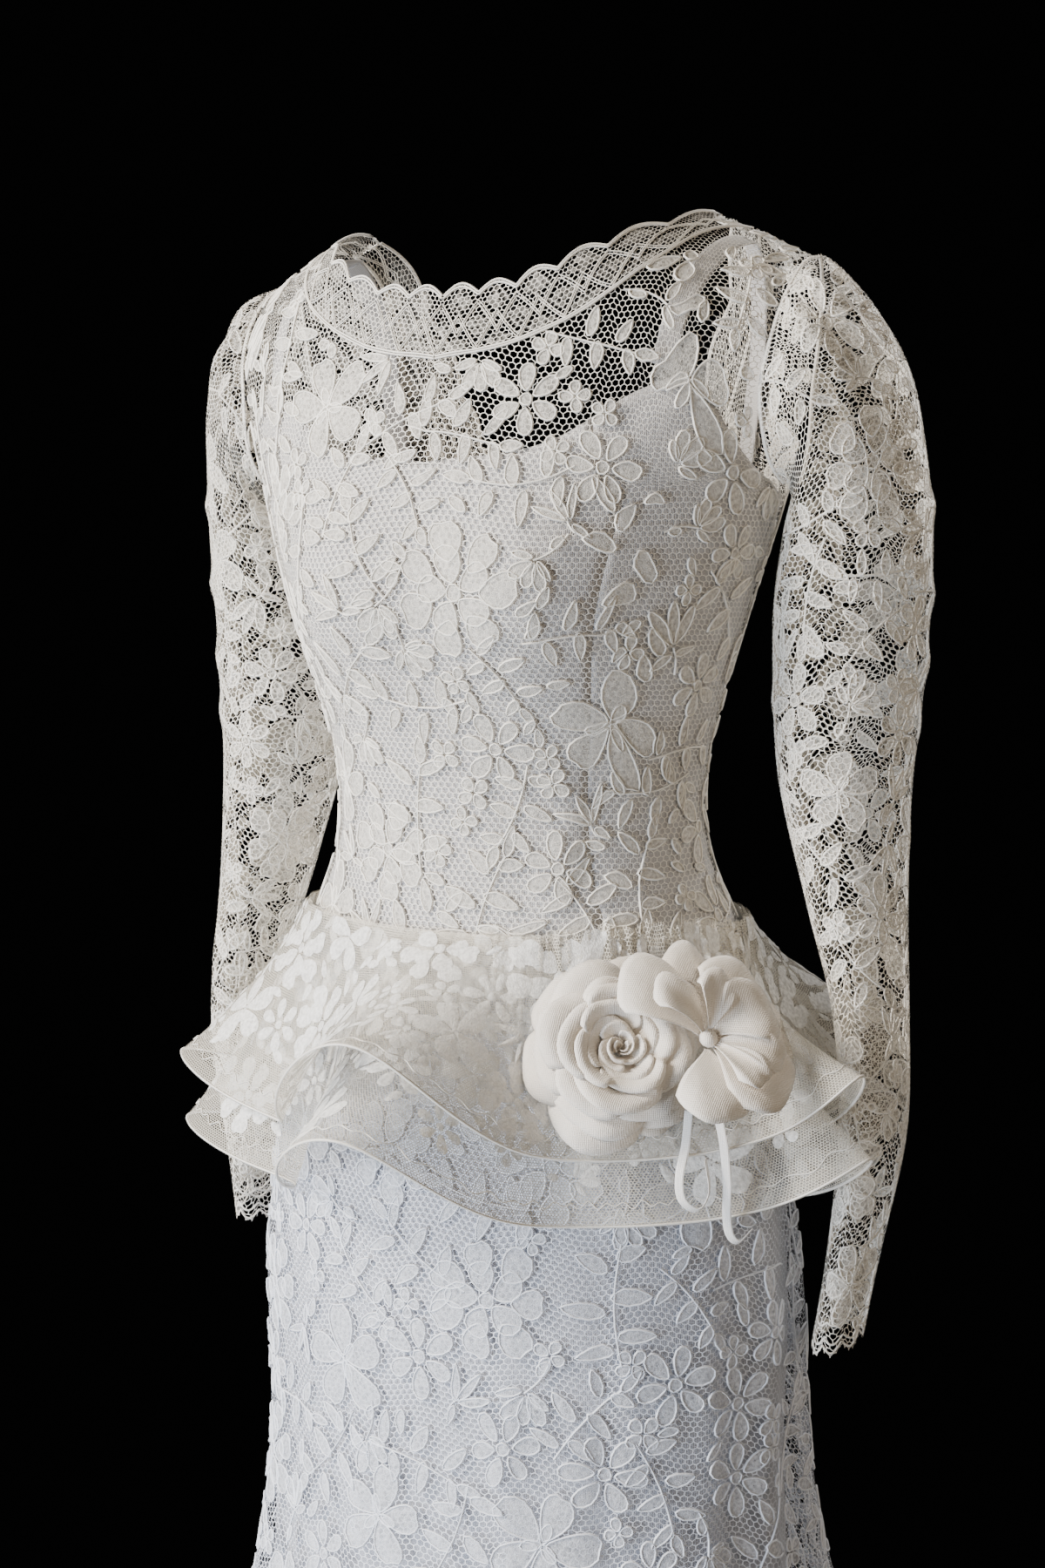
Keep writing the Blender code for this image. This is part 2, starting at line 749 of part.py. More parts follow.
def build_bodice(dress, lace, satin):
    edges = (("side_right", -1, -PRINCESS, 5), ("centre", -PRINCESS, PRINCESS, 6),
             ("side_left", PRINCESS, 1, 5))
    for word, start, end, count in edges:
        start = start + (PRINCESS_GAP if start > -1 else 0)
        end = end - (PRINCESS_GAP if end < 1 else 0)
        cloth = bodice_panel(-1, LINING_FRONT_TOP, None, start, end)
        sheet(f"lining_front_{word}", cloth, count, LINING_ROWS_UP, LINING_WALL, satin, dress)
    cloth = bodice_panel(1, LINING_BACK_TOP, None, 1, -1)
    sheet("lining_back", cloth, 16, LINING_ROWS_UP, LINING_WALL, satin, dress)
    rows = LINING_ROWS_UP + YOKE_ROWS
    front = bodice_panel(-1, LINING_FRONT_TOP, LACE_FRONT_TOP, -1, 1)
    sheet("lace_front", front, 16, rows, LACE_WALL, lace, dress, LACE_OUT)
    for word, ends in (("left", (1, BACK_GAP)), ("right", (-BACK_GAP, -1))):
        back = bodice_panel(1, LINING_BACK_TOP, LACE_BACK_TOP, *ends)
        sheet(f"lace_back_{word}", back, 8, rows, LACE_WALL, lace, dress, LACE_OUT)
    for word, sign in (("left", 1), ("right", -1)):
        held = strap(sign)
        sheet(f"strap_{word}", held if sign > 0 else flipped(held), 2, 9, LINING_WALL, satin,
              dress)


def flipped(surface):
    """The same surface facing the other way."""
    return lambda u, v: surface(1 - u, v)


def build_edging(dress, lace):
    for word, side, lace_text, text, scallops in (
        ("front", -1, LACE_FRONT_TOP, EDGING_FRONT, SCALLOPS_FRONT),
        ("back", 1, LACE_BACK_TOP, EDGING_BACK, SCALLOPS_BACK),
    ):
        for hand, sign in (("left", 1), ("right", -1)):
            cloth = edging(side, lace_text, text, scallops, sign)
            if sign * side > 0:
                cloth = flipped(cloth)
            count = scallops * SCALLOP_COLUMNS
            sheet(f"edging_{word}_{hand}", cloth, count, EDGING_ROWS, LACE_WALL, lace, dress,
                  LACE_OUT, ladder)


def build_sleeves(dress, lace):
    halves = (("upper", 0.25, -0.25, SLEEVE_UPPER_COLUMNS),
              ("under", 0.75, 0.25, SLEEVE_UNDER_COLUMNS))
    for word, sign in (("left", 1), ("right", -1)):
        for half, start, end, count in halves:
            ends = (start, end)
            if sign > 0:
                ends = ends[::-1]
            sheet(f"sleeve_{half}_{word}", sleeve(sign, *ends), count, SLEEVE_ROWS_DOWN,
                  LACE_WALL, lace, dress, 0.0, cuff_row(count))


def build_skirt(dress, lace, satin, tulle):
    side = 89.7
    for word, middle in (("front", 0), ("back", 180)):
        start, end = middle - side, middle + side
        cloth = skirt_panel(LINING_ROWS, False, middle, LINING_HEM_Z)
        sheet(f"skirt_lining_{word}", cloth, 14, 10, LINING_WALL, satin, dress)
        cloth = skirt_panel(BODY_ROWS, True, middle, HEM_Z)
        sheet(f"skirt_lace_{word}", cloth, 28, 10, LACE_WALL, lace, dress, LACE_OUT)
        tiers = (("lower", LOWER_TIER_LENGTH, LOWER_TIER_OUT),
                 ("upper", UPPER_TIER_LENGTH, UPPER_TIER_OUT))
        for tier, length, out in tiers:
            cloth = peplum_panel(length, f"{tier}_lift", out, start, end)
            count = PEPLUM_FRONT_COLUMNS if word == "front" else PEPLUM_BACK_COLUMNS
            sheet(f"peplum_{tier}_{word}", cloth, count, PEPLUM_ROWS, TULLE_WALL, tulle, dress)


def build_flowers(dress, petal, satin):
    flowers = columns(FLOWERS)
    names = (("rose", ROSE_LAYERS, ("outer", "middle", "inner", "bud")),
             ("flower", FLOWER_LAYERS, ("outer", "inner")))
    for number, (word, text, parts) in enumerate(names):
        flower = {name: values[number] for name, values in flowers.items()}
        table = columns(text)
        for place, part in enumerate(parts):
            layer = {name: values[place] for name, values in table.items()}
            count = int(layer["petals"] * 4)
            sheet(f"{word}_{part}", flower_layer(flower, layer), count, 3, PETAL_WALL, petal,
                  dress)
    beside_rose = {name: values[-1] for name, values in flowers.items()}
    build_button(dress, petal, beside_rose)
    for number, word in enumerate(("loop", "tail")):
        sheet(f"ribbon_{word}", ribbon(number), 1, RIBBON_PIECES, RIBBON_WALL, satin, dress)


def build_button(dress, petal, flower):
    middle, outward, _, _ = flower_frame(flower)
    bm = bmesh.new()
    bmesh.ops.create_uvsphere(bm, u_segments=10, v_segments=6, radius=BUTTON_RADIUS)
    bmesh.ops.translate(bm, verts=bm.verts, vec=middle + outward * BUTTON_STAND)
    mesh = bpy.data.meshes.new("button")
    bm.to_mesh(mesh)
    bm.free()
    mesh.materials.append(petal)
    mesh.shade_smooth()
    dress.objects.link(bpy.data.objects.new("button", mesh))


def main():
    for old in list(bpy.data.objects):
        bpy.data.objects.remove(old)
    dress = bpy.data.collections.new("wedding_dress")
    bpy.context.scene.collection.children.link(dress)
    lace = material("corded_lace", CREAM_LACE, 0.75, 0.3)
    satin = material("satin", WHITE_SATIN, 0.4, 0.2)
    tulle = material("peplum_lace", PEPLUM_CREAM, 0.8, 0.3)
    petal = material("rose_petals", PETAL_CREAM, 0.6, 0.3)
    build_bodice(dress, lace, satin)
    build_edging(dress, lace)
    build_sleeves(dress, lace)
    build_skirt(dress, lace, satin, tulle)
    ribbon_satin = material("ribbon_satin", RIBBON_WHITE, 0.35, 0.1)
    build_flowers(dress, petal, ribbon_satin)


main()
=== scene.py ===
"""The looks of a long-sleeved lace wedding dress, in metres, round its CAD solids.

The origin is the middle of the shoulder line, +Z is up, the front faces -Y and
the wearer's left is +X. Every cloth piece is an open shell on the same function
of its sizes as its solid, with finer folds. Lace is a net shell with a petal
mesh and a cord mesh laid on it, both made from the panel's own points.
"""

import bpy
import numpy as np
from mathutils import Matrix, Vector


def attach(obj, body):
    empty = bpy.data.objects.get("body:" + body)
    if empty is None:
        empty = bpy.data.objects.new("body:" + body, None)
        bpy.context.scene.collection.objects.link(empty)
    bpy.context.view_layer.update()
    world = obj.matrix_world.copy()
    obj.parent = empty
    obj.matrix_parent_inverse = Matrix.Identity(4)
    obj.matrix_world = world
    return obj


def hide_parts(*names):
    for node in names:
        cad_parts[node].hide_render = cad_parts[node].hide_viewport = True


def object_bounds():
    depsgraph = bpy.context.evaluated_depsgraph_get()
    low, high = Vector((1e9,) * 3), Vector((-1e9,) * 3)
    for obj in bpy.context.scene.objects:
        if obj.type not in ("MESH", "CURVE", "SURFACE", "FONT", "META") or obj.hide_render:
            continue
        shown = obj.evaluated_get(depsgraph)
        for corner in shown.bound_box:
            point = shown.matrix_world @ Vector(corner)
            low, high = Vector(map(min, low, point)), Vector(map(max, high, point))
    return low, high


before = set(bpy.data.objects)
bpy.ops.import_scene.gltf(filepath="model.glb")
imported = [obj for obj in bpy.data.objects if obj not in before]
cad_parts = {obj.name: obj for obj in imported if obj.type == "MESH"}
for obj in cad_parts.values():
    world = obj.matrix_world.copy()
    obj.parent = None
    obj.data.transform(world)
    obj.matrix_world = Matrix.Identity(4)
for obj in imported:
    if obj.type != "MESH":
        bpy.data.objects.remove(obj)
CAD_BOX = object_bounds()

# The lining's wall, the gap along a seam and how far the lace lies over the lining
LINING_WALL = 0.0012
SEAM_GAP = 0.0003
LACE_OUT = LINING_WALL + 0.0005

# Heights below the shoulder line
ARMPIT_Z = -0.158
WAIST_SEAM_Z = -0.420
HEM_Z = -1.420
LINING_HEM_Z = -1.390

# The shoulder
NECK_POINT_X = 0.116
NECK_POINT_Z = -0.004
SHOULDER_SLOPE = 0.46
SHOULDER_Y = 0.027
SHOULDER_ROUND = 0.070
YOKE_SHARE = 0.70
YOKE_HALF_WIDTH = 0.188
ROWS_STEEPER = 1.087
ROWS_CLOSE_FROM = 0.84
ROWS_BLEND = 0.12
ARMHOLE_HALF_ANGLE = 66.0
ARMHOLE_ROUND = 0.055

# The dress round the body: height, half width, depth in front, depth behind
BODY = """
    z       half_width  front   back
    0.020   0.1880      0.080   0.080
   -0.050   0.1880      0.094   0.086
   -0.100   0.1810      0.108   0.088
   -0.158   0.1640      0.120   0.087
   -0.200   0.1510      0.123   0.082
   -0.240   0.1380      0.117   0.076
   -0.270   0.1290      0.108   0.072
   -0.340   0.1150      0.094   0.070
   -0.375   0.1180      0.092   0.080
   -0.420   0.1350      0.094   0.104
   -0.500   0.1550      0.108   0.124
   -0.620   0.1680      0.118   0.145
   -0.770   0.1660      0.125   0.204
   -0.850   0.1750      0.142   0.226
   -1.000   0.2150      0.176   0.276
   -1.200   0.2900      0.240   0.365
   -1.430   0.3800      0.318   0.480
"""

# The satin skirt lining is cut slimmer than the lace over it
LINING_SKIRT = """
    z       half_width  front   back
   -0.420   0.1350      0.094   0.104
   -0.500   0.1550      0.108   0.124
   -0.620   0.1665      0.117   0.143
   -0.770   0.1665      0.120   0.154
   -0.850   0.1690      0.126   0.162
   -1.200   0.2300      0.185   0.240
   -1.430   0.2750      0.225   0.290
"""

# The skirt's top edge, and the gap beside each of its side seams
SKIRT_TOP_Z = -0.421
SIDE_GAP = 0.0002

# Bust shaping from the cups and darts
CUP_DEPTH = 0.020
CUP_X = 0.070
CUP_Z = -0.225
CUP_SPREAD_X = 0.050
CUP_SPREAD_Z = 0.055

# Top edges of the panels, from the centre (0) to the armhole (1)
LACE_FRONT_TOP = """
    across  z
    0.00   -0.0900
    0.23   -0.0815
    0.47   -0.0540
    0.57   -0.0335
    0.64   -0.0188
    0.70   -0.0132
"""
LACE_BACK_TOP = """
    across  z
    0.00   -0.2050
    0.20   -0.2000
    0.40   -0.1680
    0.52   -0.1180
    0.60   -0.0640
    0.66   -0.0240
    0.70   -0.0132
"""
LINING_FRONT_TOP = """
    across  z
    0.00   -0.1460
    0.35   -0.1350
    0.62   -0.1060
    0.72   -0.1000
    0.85   -0.1150
    1.00   -0.1560
"""
LINING_BACK_TOP = """
    across  z
    0.00   -0.2150
    0.35   -0.2100
    0.58   -0.1900
    0.68   -0.1800
    1.00   -0.1600
"""

# The front lining is cut at the princess seams and the back lace at the centre.
# These are shares of the way from the centre to the side.
PRINCESS = 0.47
PRINCESS_GAP = 0.00045
BACK_GAP = 0.0018

# The straps: half their width, how far they lie under the lace, and their
# points, as places across the body and depths below the shoulder line
STRAP_HALF_WIDTH = 0.0055
STRAP_UNDER = 0.0052
STRAP_TOP_POINT = 4
STRAP = """
    x       below
    0.1240  0.0865
    0.1270  0.0550
    0.1310  0.0230
    0.1330  0.0060
    0.1335  0.0000
    0.1330  0.0060
    0.1310  0.0230
    0.1270  0.0640
    0.1210  0.1210
    0.1160  0.1755
"""

# The upper edge of the scalloped neck edging, from the centre to the shoulder
EDGING_FRONT = """
    along   x       z
    0.00    0.0002 -0.0500
    0.35    0.0450 -0.0450
    0.70    0.0900 -0.0230
    0.90    0.1120 -0.0070
    1.00    0.1165  0.0000
"""
EDGING_BACK = """
    along   x       z
    0.00    0.0004 -0.1720
    0.30    0.0370 -0.1660
    0.60    0.0660 -0.1320
    0.80    0.0880 -0.0780
    0.93    0.1080 -0.0220
    1.00    0.1165  0.0000
"""
EDGING_END_GAP = 0.0012
SCALLOPS_FRONT = 6
SCALLOPS_BACK = 8
SCALLOP_DEPTH = 0.0060

# The sleeve's rings, from the armhole to the wrist. Tilt turns a ring from
# upright, at the armhole, to level.
SLEEVE = """
    ring    x       y       z       tilt    half_out  half_deep
    0       0.1740  0.0000 -0.0950  90      0.0640    0.052
    1       0.1865  0.0080 -0.1055  78      0.0620    0.056
    2       0.1990  0.0160 -0.1275  59      0.0520    0.057
    3       0.2005  0.0220 -0.1600  38      0.0475    0.056
    4       0.1993  0.0270 -0.2050  24      0.0480    0.054
    5       0.1975  0.0290 -0.2650  12.5    0.0440    0.052
    6       0.1985  0.0226 -0.3300  0       0.0370    0.047
    7       0.2085  0.0180 -0.4000 -4       0.0275    0.041
    8       0.2190  0.0140 -0.4600 -4       0.0200    0.037
    9       0.2220  0.0120 -0.5300  0       0.0180    0.034
    10      0.2140  0.0070 -0.6000  4       0.0140    0.031
    11      0.2060  0.0030 -0.6500  6       0.0130    0.029
"""
# The right sleeve hangs this much closer in, and its wrist is this much higher
RIGHT_SLEEVE_IN = 0.012
RIGHT_WRIST_UP = 0.022
SLEEVE_GATHERS = 12
ARMHOLE_GAP = 0.0008
ARMPIT_CLEAR = 0.0045
SLEEVE_GATHER_DEPTH = 0.0030
CUFF_SCALLOPS = 8
CUFF_SCALLOP_DEPTH = 0.006

# The two peplum tiers: how far each lifts from hanging straight, round the
# waist from the centre front towards the wearer's left, in degrees
FLUTES = """
    angle   upper_lift  lower_lift
   -180     56          42
   -152     28          18
   -124     54          40
   -95      21          17
   -64      40          30
   -28      24          16
    3       71          56
    24      31          20
    45      27          18
    58      32          22
    65      39          29
    73      58          46
    84      27          18
    97      22          17
    124     54          40
    152     28          18
    180     56          42
"""
UPPER_TIER_LENGTH = 0.126
LOWER_TIER_LENGTH = 0.161
LOWER_TIER_OUT = 0.0045
UPPER_TIER_OUT = 0.0067
PEPLUM_HEADING = 0.008
PEPLUM_GATHERS = 32
PEPLUM_GATHER_DEPTH = 0.0012

# Soft folds of the lace skirt: where each lies, its spread and height at the
# hem, and the height at which it starts
SKIRT_FOLDS = """
    angle   spread  height  top
   -170     9       0.050  -0.60
   -148     8       0.042  -0.66
   -126     8       0.046  -0.58
   -104     7       0.036  -0.62
   -80      7       0.030  -0.70
   -56      8       0.030  -0.64
   -34      7       0.022  -0.74
   -12      7       0.024  -0.66
    10      7       0.020  -0.72
    33      8       0.026  -0.66
    58      8       0.026  -0.60
    82      8       0.050  -0.46
    103     8       0.060  -0.45
    126     8       0.050  -0.52
    149     8       0.044  -0.60
    172     9       0.052  -0.56
"""

# The two flowers: angle round the waist, height, how far they stand outside
# the seam, how far they tilt up, size
FLOWERS = """
    angle   z       stand   tilt    size
    39     -0.470   0.0416  28      0.051
    54     -0.461   0.0621  44      0.050
"""

FLOWER_BEND_RADIUS = 0.20
BUTTON_RADIUS = 0.0052
BUTTON_STAND = 0.0036

# The ribbons under the flowers. Each row is a point: which ribbon, how far
# sideways of their middle, the height, and how far outside the waist seam.
RIBBON_ANGLE = 52
RIBBON_WIDTH = 0.0052
RIBBON_TURN = 50
RIBBONS = """
    ribbon  side    z       stand
    0      -0.0050 -0.4980  0.0640
    0      -0.0080 -0.5160  0.0661
    0      -0.0135 -0.5330  0.0691
    0      -0.0120 -0.5460  0.0701
    0      -0.0030 -0.5520  0.0721
    0       0.0030 -0.5420  0.0731
    0       0.0010 -0.5240  0.0721
    1       0.0085 -0.4960  0.0700
    1       0.0105 -0.5160  0.0752
    1       0.0125 -0.5380  0.0760
    1       0.0140 -0.5560  0.0734
    1       0.0165 -0.5680  0.0724
    1       0.0225 -0.5735  0.0724
    1       0.0300 -0.5665  0.0744
"""

# The looks' own sizes. Radii are of cords, lifts are how far trims stand off the
# cloth, and shares and counts say which motifs and places are kept.
STEP = 0.002
SATIN_WALL = 0.0008
CORD_RADIUS = 0.00072
EDGING_BAR_RADIUS = 0.00035
EDGING_BORDER_RADIUS = 0.0007
CLOSURE_RADIUS = 0.0009
CUFF_RADIUS = 0.0006
HEAD_RADIUS = 0.0012
HEM_ROLL_RADIUS = 0.0009
HEM_SEAM_RADIUS = 0.0004
TRIM_LIFT = 0.0003
LAYER_LIFT = 0.00006
PETAL_LAYERS = 5
EDGE_IN = 0.003
SMALLEST_SHARE = 0.5
LARGEST_SHARE = 1.35
MOST_CUT = 0.3
SMALLEST_MOTIF = 0.86
LARGEST_MOTIF = 1.12
PLACES_TRIED = 400
PEPLUM_BARE_BELOW = 0.15
TIER_HALF_ANGLE = 89.7
PETAL_DOME = 0.0007
PETAL_THICK = 0.0004
RIBBON_THICK = 0.0004
HEM_BAND = 0.009
RUCHE_MIDDLE = 62
RUCHE_SPREAD = 38
HEADING_RISE = 0.008
CUFF_CORDS = (0.004, 0.012, 0.030)
HEAD_CORD = 0.992
DIAMOND_ROUNDING = 0.28
BAND_EDGE_IN = 0.002
CLOSURE_IN = 0.02
HEM_LINE = 0.004
HEM_SEAM_UP = 1.35
HEM_SEAM_WAVE = 0.16
BAND_LIFT = 0.0005
SKIRT_THIN_Z = -0.90
THIN_ROOM = 1.8
CANDIDATES = 9000

# How many columns and rows each shell has
FRONT_SATIN_GRID = (28, 44)
BACK_SATIN_GRID = (56, 32)
STRAP_GRID = (8, 72)
FRONT_NET_GRID = (88, 88)
BACK_NET_GRID = (44, 72)
SCALLOP_GRID = (18, 18)
SLEEVE_GRID = (84, 130)
LINING_GRID = (48, 44)
SKIRT_GRID = (128, 80)
PEPLUM_GRID = (300, 26)
BAND_GRID = (300, 3)
PETAL_GRID = (14, 14)
RIBBON_GRID = (4, 96)
BUTTON_GRID = (40, 20)

# The lace's petals in motifs of radius 1: how many, where they start from, the
# first one's direction and the angle between them, from where to where they
# reach, their half width, how blunt, sharp and notched the tip is, how far it
# bends and how many points draw it
PETALS = """
    motif count x     y     from fan  start end   width blunt sharp notch bend  points
    0     6     0     0     0    60   0.24  1.00  0.27  0.5   0.0   0.00  0.00  12
    0     1     0     0     0    0   -0.17  0.17  0.17  0.0   0.0   0.00  0.00  8
    1     7     0     0     20   51.4 0.42  1.00  0.30  0.5   0.0   0.05  0.04  14
    1     5     0     0     0    72   0.14  0.66  0.26  0.5   0.0   0.00  0.05  12
    1     1     0     0     0    0   -0.13  0.13  0.13  0.0   0.0   0.00  0.00  8
    2     5     0     0     10   72   0.08  1.00  0.38  0.7   0.0   0.06  0.08  16
    2     3     0     0     40   120  0.00  0.42  0.12  0.3   0.1   0.00  0.00  10
    3     3     0    -0.3   58   32   0.10  1.25  0.24  0.4   0.2   0.00  0.00  12
    3     2     0    -0.5  -10   200  0.05  0.75  0.16  0.2   0.4   0.00  0.10  10
    4     1    -0.95 -0.30  95   0    0.05  0.62  0.16  0.2   0.4   0.00  0.08  10
    4     1    -0.75 -0.22 -60   0    0.05  0.60  0.16  0.2   0.4   0.00 -0.08  10
    4     1    -0.40 -0.06  80   0    0.05  0.66  0.17  0.2   0.4   0.00  0.08  10
    4     1    -0.15  0.00 -70   0    0.05  0.64  0.17  0.2   0.4   0.00 -0.08  10
    4     1     0.20  0.02  62   0    0.05  0.60  0.16  0.2   0.4   0.00  0.08  10
    4     1     0.40  0.00 -50   0    0.05  0.56  0.15  0.2   0.4   0.00 -0.06  10
    4     1     0.60 -0.06  5    0    0.03  0.52  0.15  0.2   0.4   0.00  0.04  10
    5     3     0    -0.5   50   40   0.10  1.35  0.20  0.2   0.4   0.00  0.08  10
    5     1     0    -0.6  -60   0    0.05  0.80  0.17  0.2   0.4   0.00 -0.06  10
    6     4     0     0     15   90   0.12  1.00  0.42  0.5   0.0   0.00  0.00  10
    7     1     0     0     0    0   -1.00  1.00  0.60  0.2   0.3   0.00  0.15  12
    8     3     0     0     90   30   0.15  1.00  0.24  0.5   0.0   0.00  0.00  10
    8     2     0     0     40   130  0.10  0.72  0.16  0.3   0.3   0.00  0.06  10
    8     1     0    -0.45 -90   0    0.05  0.50  0.20  0.3   0.3   0.00  0.00  10
"""
# How far each motif reaches, as a share of its size
MOTIF_REACH = (1.0, 1.0, 1.0, 0.95, 0.78, 0.9, 1.0, 0.75, 0.85)

# The lace's stems: from one point to another, bowed aside
STEMS = """
    motif x     y     to_x  to_y  bow
    4    -1.15 -0.40  0.65 -0.06  0.06
    5     0.00 -0.90  0.00 -0.30  0.08
    3     0.05 -1.10  0.00 -0.30 -0.08
    8     0.00 -1.10  0.00  0.10  0.10
"""

# How many of each motif a panel has, their size and how close they may come
# as a share of their two radii
BODICE_PLAN = (
    (1, 3, 0.031, 0.98), (2, 4, 0.029, 0.96), (0, 10, 0.021, 0.92), (4, 30, 0.030, 0.80),
    (8, 16, 0.020, 0.84), (3, 20, 0.018, 0.82), (5, 40, 0.017, 0.80), (6, 70, 0.009, 0.82),
    (7, 130, 0.006, 0.84),
)
BACK_PLAN = (
    (1, 2, 0.031, 1.00), (0, 5, 0.021, 0.96), (4, 10, 0.030, 0.86), (8, 5, 0.020, 0.88),
    (3, 8, 0.018, 0.86), (5, 14, 0.017, 0.84), (6, 24, 0.009, 0.84), (7, 40, 0.007, 0.86),
)
SLEEVE_PLAN = (
    (1, 7, 0.031, 1.00), (2, 6, 0.027, 0.98), (0, 13, 0.020, 0.96), (4, 26, 0.028, 0.86),
    (8, 16, 0.019, 0.88), (3, 18, 0.017, 0.86), (5, 30, 0.016, 0.84), (6, 40, 0.009, 0.84),
    (7, 60, 0.007, 0.86),
)
SKIRT_PLAN = (
    (1, 16, 0.034, 1.00), (2, 14, 0.031, 0.98), (0, 36, 0.022, 0.94), (4, 80, 0.033, 0.84),
    (8, 46, 0.021, 0.84), (3, 46, 0.019, 0.84), (5, 90, 0.018, 0.82), (6, 120, 0.010, 0.82),
    (7, 160, 0.007, 0.84),
)
PEPLUM_PLAN = (
    (1, 12, 0.028, 0.88), (2, 14, 0.023, 0.86), (0, 34, 0.017, 0.84), (8, 30, 0.016, 0.80),
    (5, 50, 0.014, 0.78), (6, 90, 0.009, 0.80), (7, 120, 0.006, 0.82),
)

# The front's and the skirt's main motifs. Most of their places were worked out
# by a scratch program from marks read off the photograph.
FRONT_MOTIFS = """
    motif u      v      size   turn
    0    0.603  0.896  0.020  10
    2    0.774  0.721  0.033  70
    2    0.369  0.874  0.031  -20
    4    0.487  0.915  0.030  20
    1    0.554  0.607  0.038  20
    0    0.589  0.338  0.021  40
    2    0.766  0.299  0.034  110
    4    0.758  0.521  0.040  75
    3    0.847  0.418  0.022  20
    4    0.369  0.462  0.036  60
    4    0.440  0.250  0.036  80
    1    0.381  0.147  0.030  0
    0    0.678  0.124  0.021  30
    4    0.560  0.100  0.034  60
"""
SKIRT_MOTIFS = """
    motif u      v      size   turn
    1     0.570  0.801  0.036  30
    4     0.710  0.811  0.040  80
    0     0.592  0.715  0.023  10
    0     0.894  0.735  0.023  40
    2     0.383  0.747  0.033  15
    1     0.440  0.880  0.032  0
"""

# Diamonds of the edging's repeat: middle along it, height, half width and half
# height. Then its crossing bars, from one place to another.
EDGING_DIAMONDS = (
    (0.50, 0.74, 0.34, 0.19), (0.00, 0.42, 0.30, 0.20), (0.50, 0.14, 0.34, 0.11),
    (0.50, 0.74, 0.09, 0.05),
)
EDGING_BARS = (
    (0.00, 0.86, 0.50, 0.30), (0.50, 0.30, 1.00, 0.86), (0.00, 0.80, 0.50, 0.24),
    (0.50, 0.24, 1.00, 0.80), (0.00, 0.06, 0.50, 0.50), (0.50, 0.50, 1.00, 0.06),
    (0.00, 0.12, 0.50, 0.56), (0.50, 0.56, 1.00, 0.12),
)
EDGING_BORDERS = (0.012, 0.05, 0.985, 0.94)

# The rings of petals of the flowers, with the layer each belongs to: where the
# first starts and how far they go round, in turns, then shares of the flower's
# size, how far each laps over the next, how deeply it is folded and how it winds in
FLOWER_PETALS = """
    layer petals start turns base  rim   lift  rise  curl  lap   fold  spiral
    0     6      0.10  1.00  0.24  1.06  0.00  0.14  0.14  1.25  0.00  0.02
    0     5      0.18  1.00  0.24  0.96  0.03  0.20  0.12  1.30  0.00  0.04
    1     5      0.72  1.00  0.24  0.85  0.06  0.26  0.06  1.25  0.00  0.06
    1     4      0.82  1.00  0.22  0.71  0.08  0.34  0.02  1.30  0.00  0.08
    2     4      0.40  1.00  0.18  0.56  0.09  0.34  0.00  1.30  0.00  0.14
    2     3      0.56  1.00  0.14  0.41  0.10  0.27  0.00  1.30  0.00  0.20
    3     3      0.05  1.00  0.08  0.26  0.10  0.24  0.00  1.25  0.00  0.26
    3     2      0.22  1.00  0.06  0.15  0.12  0.24  0.00  1.20  0.00  0.40
    3     2      0.10  1.00  0.02  0.07  0.12  0.22  0.00  1.10  0.00  0.50
    4     1      0.26  0.16  0.10  1.16  0.03  0.26  0.10  1.20  0.02  0.00
    4     1      0.17  0.12  0.10  1.14  0.00  0.22  0.08  1.15  0.00  0.00
    4     1      0.02  0.20  0.10  1.12  0.05  0.28  0.10  1.10  0.02  0.00
    4     1     -0.09  0.20  0.10  1.20  0.00  0.20  0.10  1.15 -0.03  0.00
    4     1     -0.25  0.21  0.10  1.16  0.03  0.22  0.08  1.15  0.03  0.00
    4     1     -0.38  0.17  0.10  1.04  0.00  0.18  0.08  1.10  0.00  0.00
    5     1      0.28  0.14  0.09  0.80  0.10  0.34  0.06  1.10  0.06  0.00
    5     1     -0.06  0.22  0.09  0.90  0.12  0.36  0.10  1.10  0.05  0.00
    5     1     -0.15  0.11  0.09  0.92  0.09  0.30  0.06  1.20  0.05  0.00
    5     1     -0.23  0.10  0.09  0.86  0.07  0.26  0.04  1.20  0.05  0.00
    5     1      0.12  0.14  0.09  0.66  0.12  0.38  0.06  1.20  0.04  0.00
"""
FLOWER_NODES = (
    (0, "rose_outer"), (0, "rose_middle"), (0, "rose_inner"), (0, "rose_bud"),
    (1, "flower_outer"), (1, "flower_inner"),
)

# Creases, as lines in a plane with a width and a depth. On the bodice p is
# across it and q is the height, in metres.
FRONT_CREASES = """
    p      q      to_p   to_q   wide   deep
    0.062 -0.415  0.070 -0.290  0.006  0.0012
   -0.062 -0.415 -0.070 -0.300  0.006  0.0011
    0.030 -0.300  0.046 -0.410  0.005 -0.0009
    0.075 -0.400  0.082 -0.300  0.005 -0.0011
   -0.030 -0.410 -0.020 -0.340  0.006 -0.0008
    0.095 -0.330  0.050 -0.350  0.005 -0.0008
   -0.090 -0.345 -0.050 -0.360  0.005 -0.0008
    0.120 -0.200  0.090 -0.260  0.006 -0.0010
   -0.120 -0.200 -0.095 -0.255  0.006 -0.0010
    0.000 -0.250  0.010 -0.180  0.008 -0.0008
    0.100 -0.130  0.140 -0.090  0.006 -0.0012
   -0.100 -0.120 -0.140 -0.085  0.006 -0.0011
"""
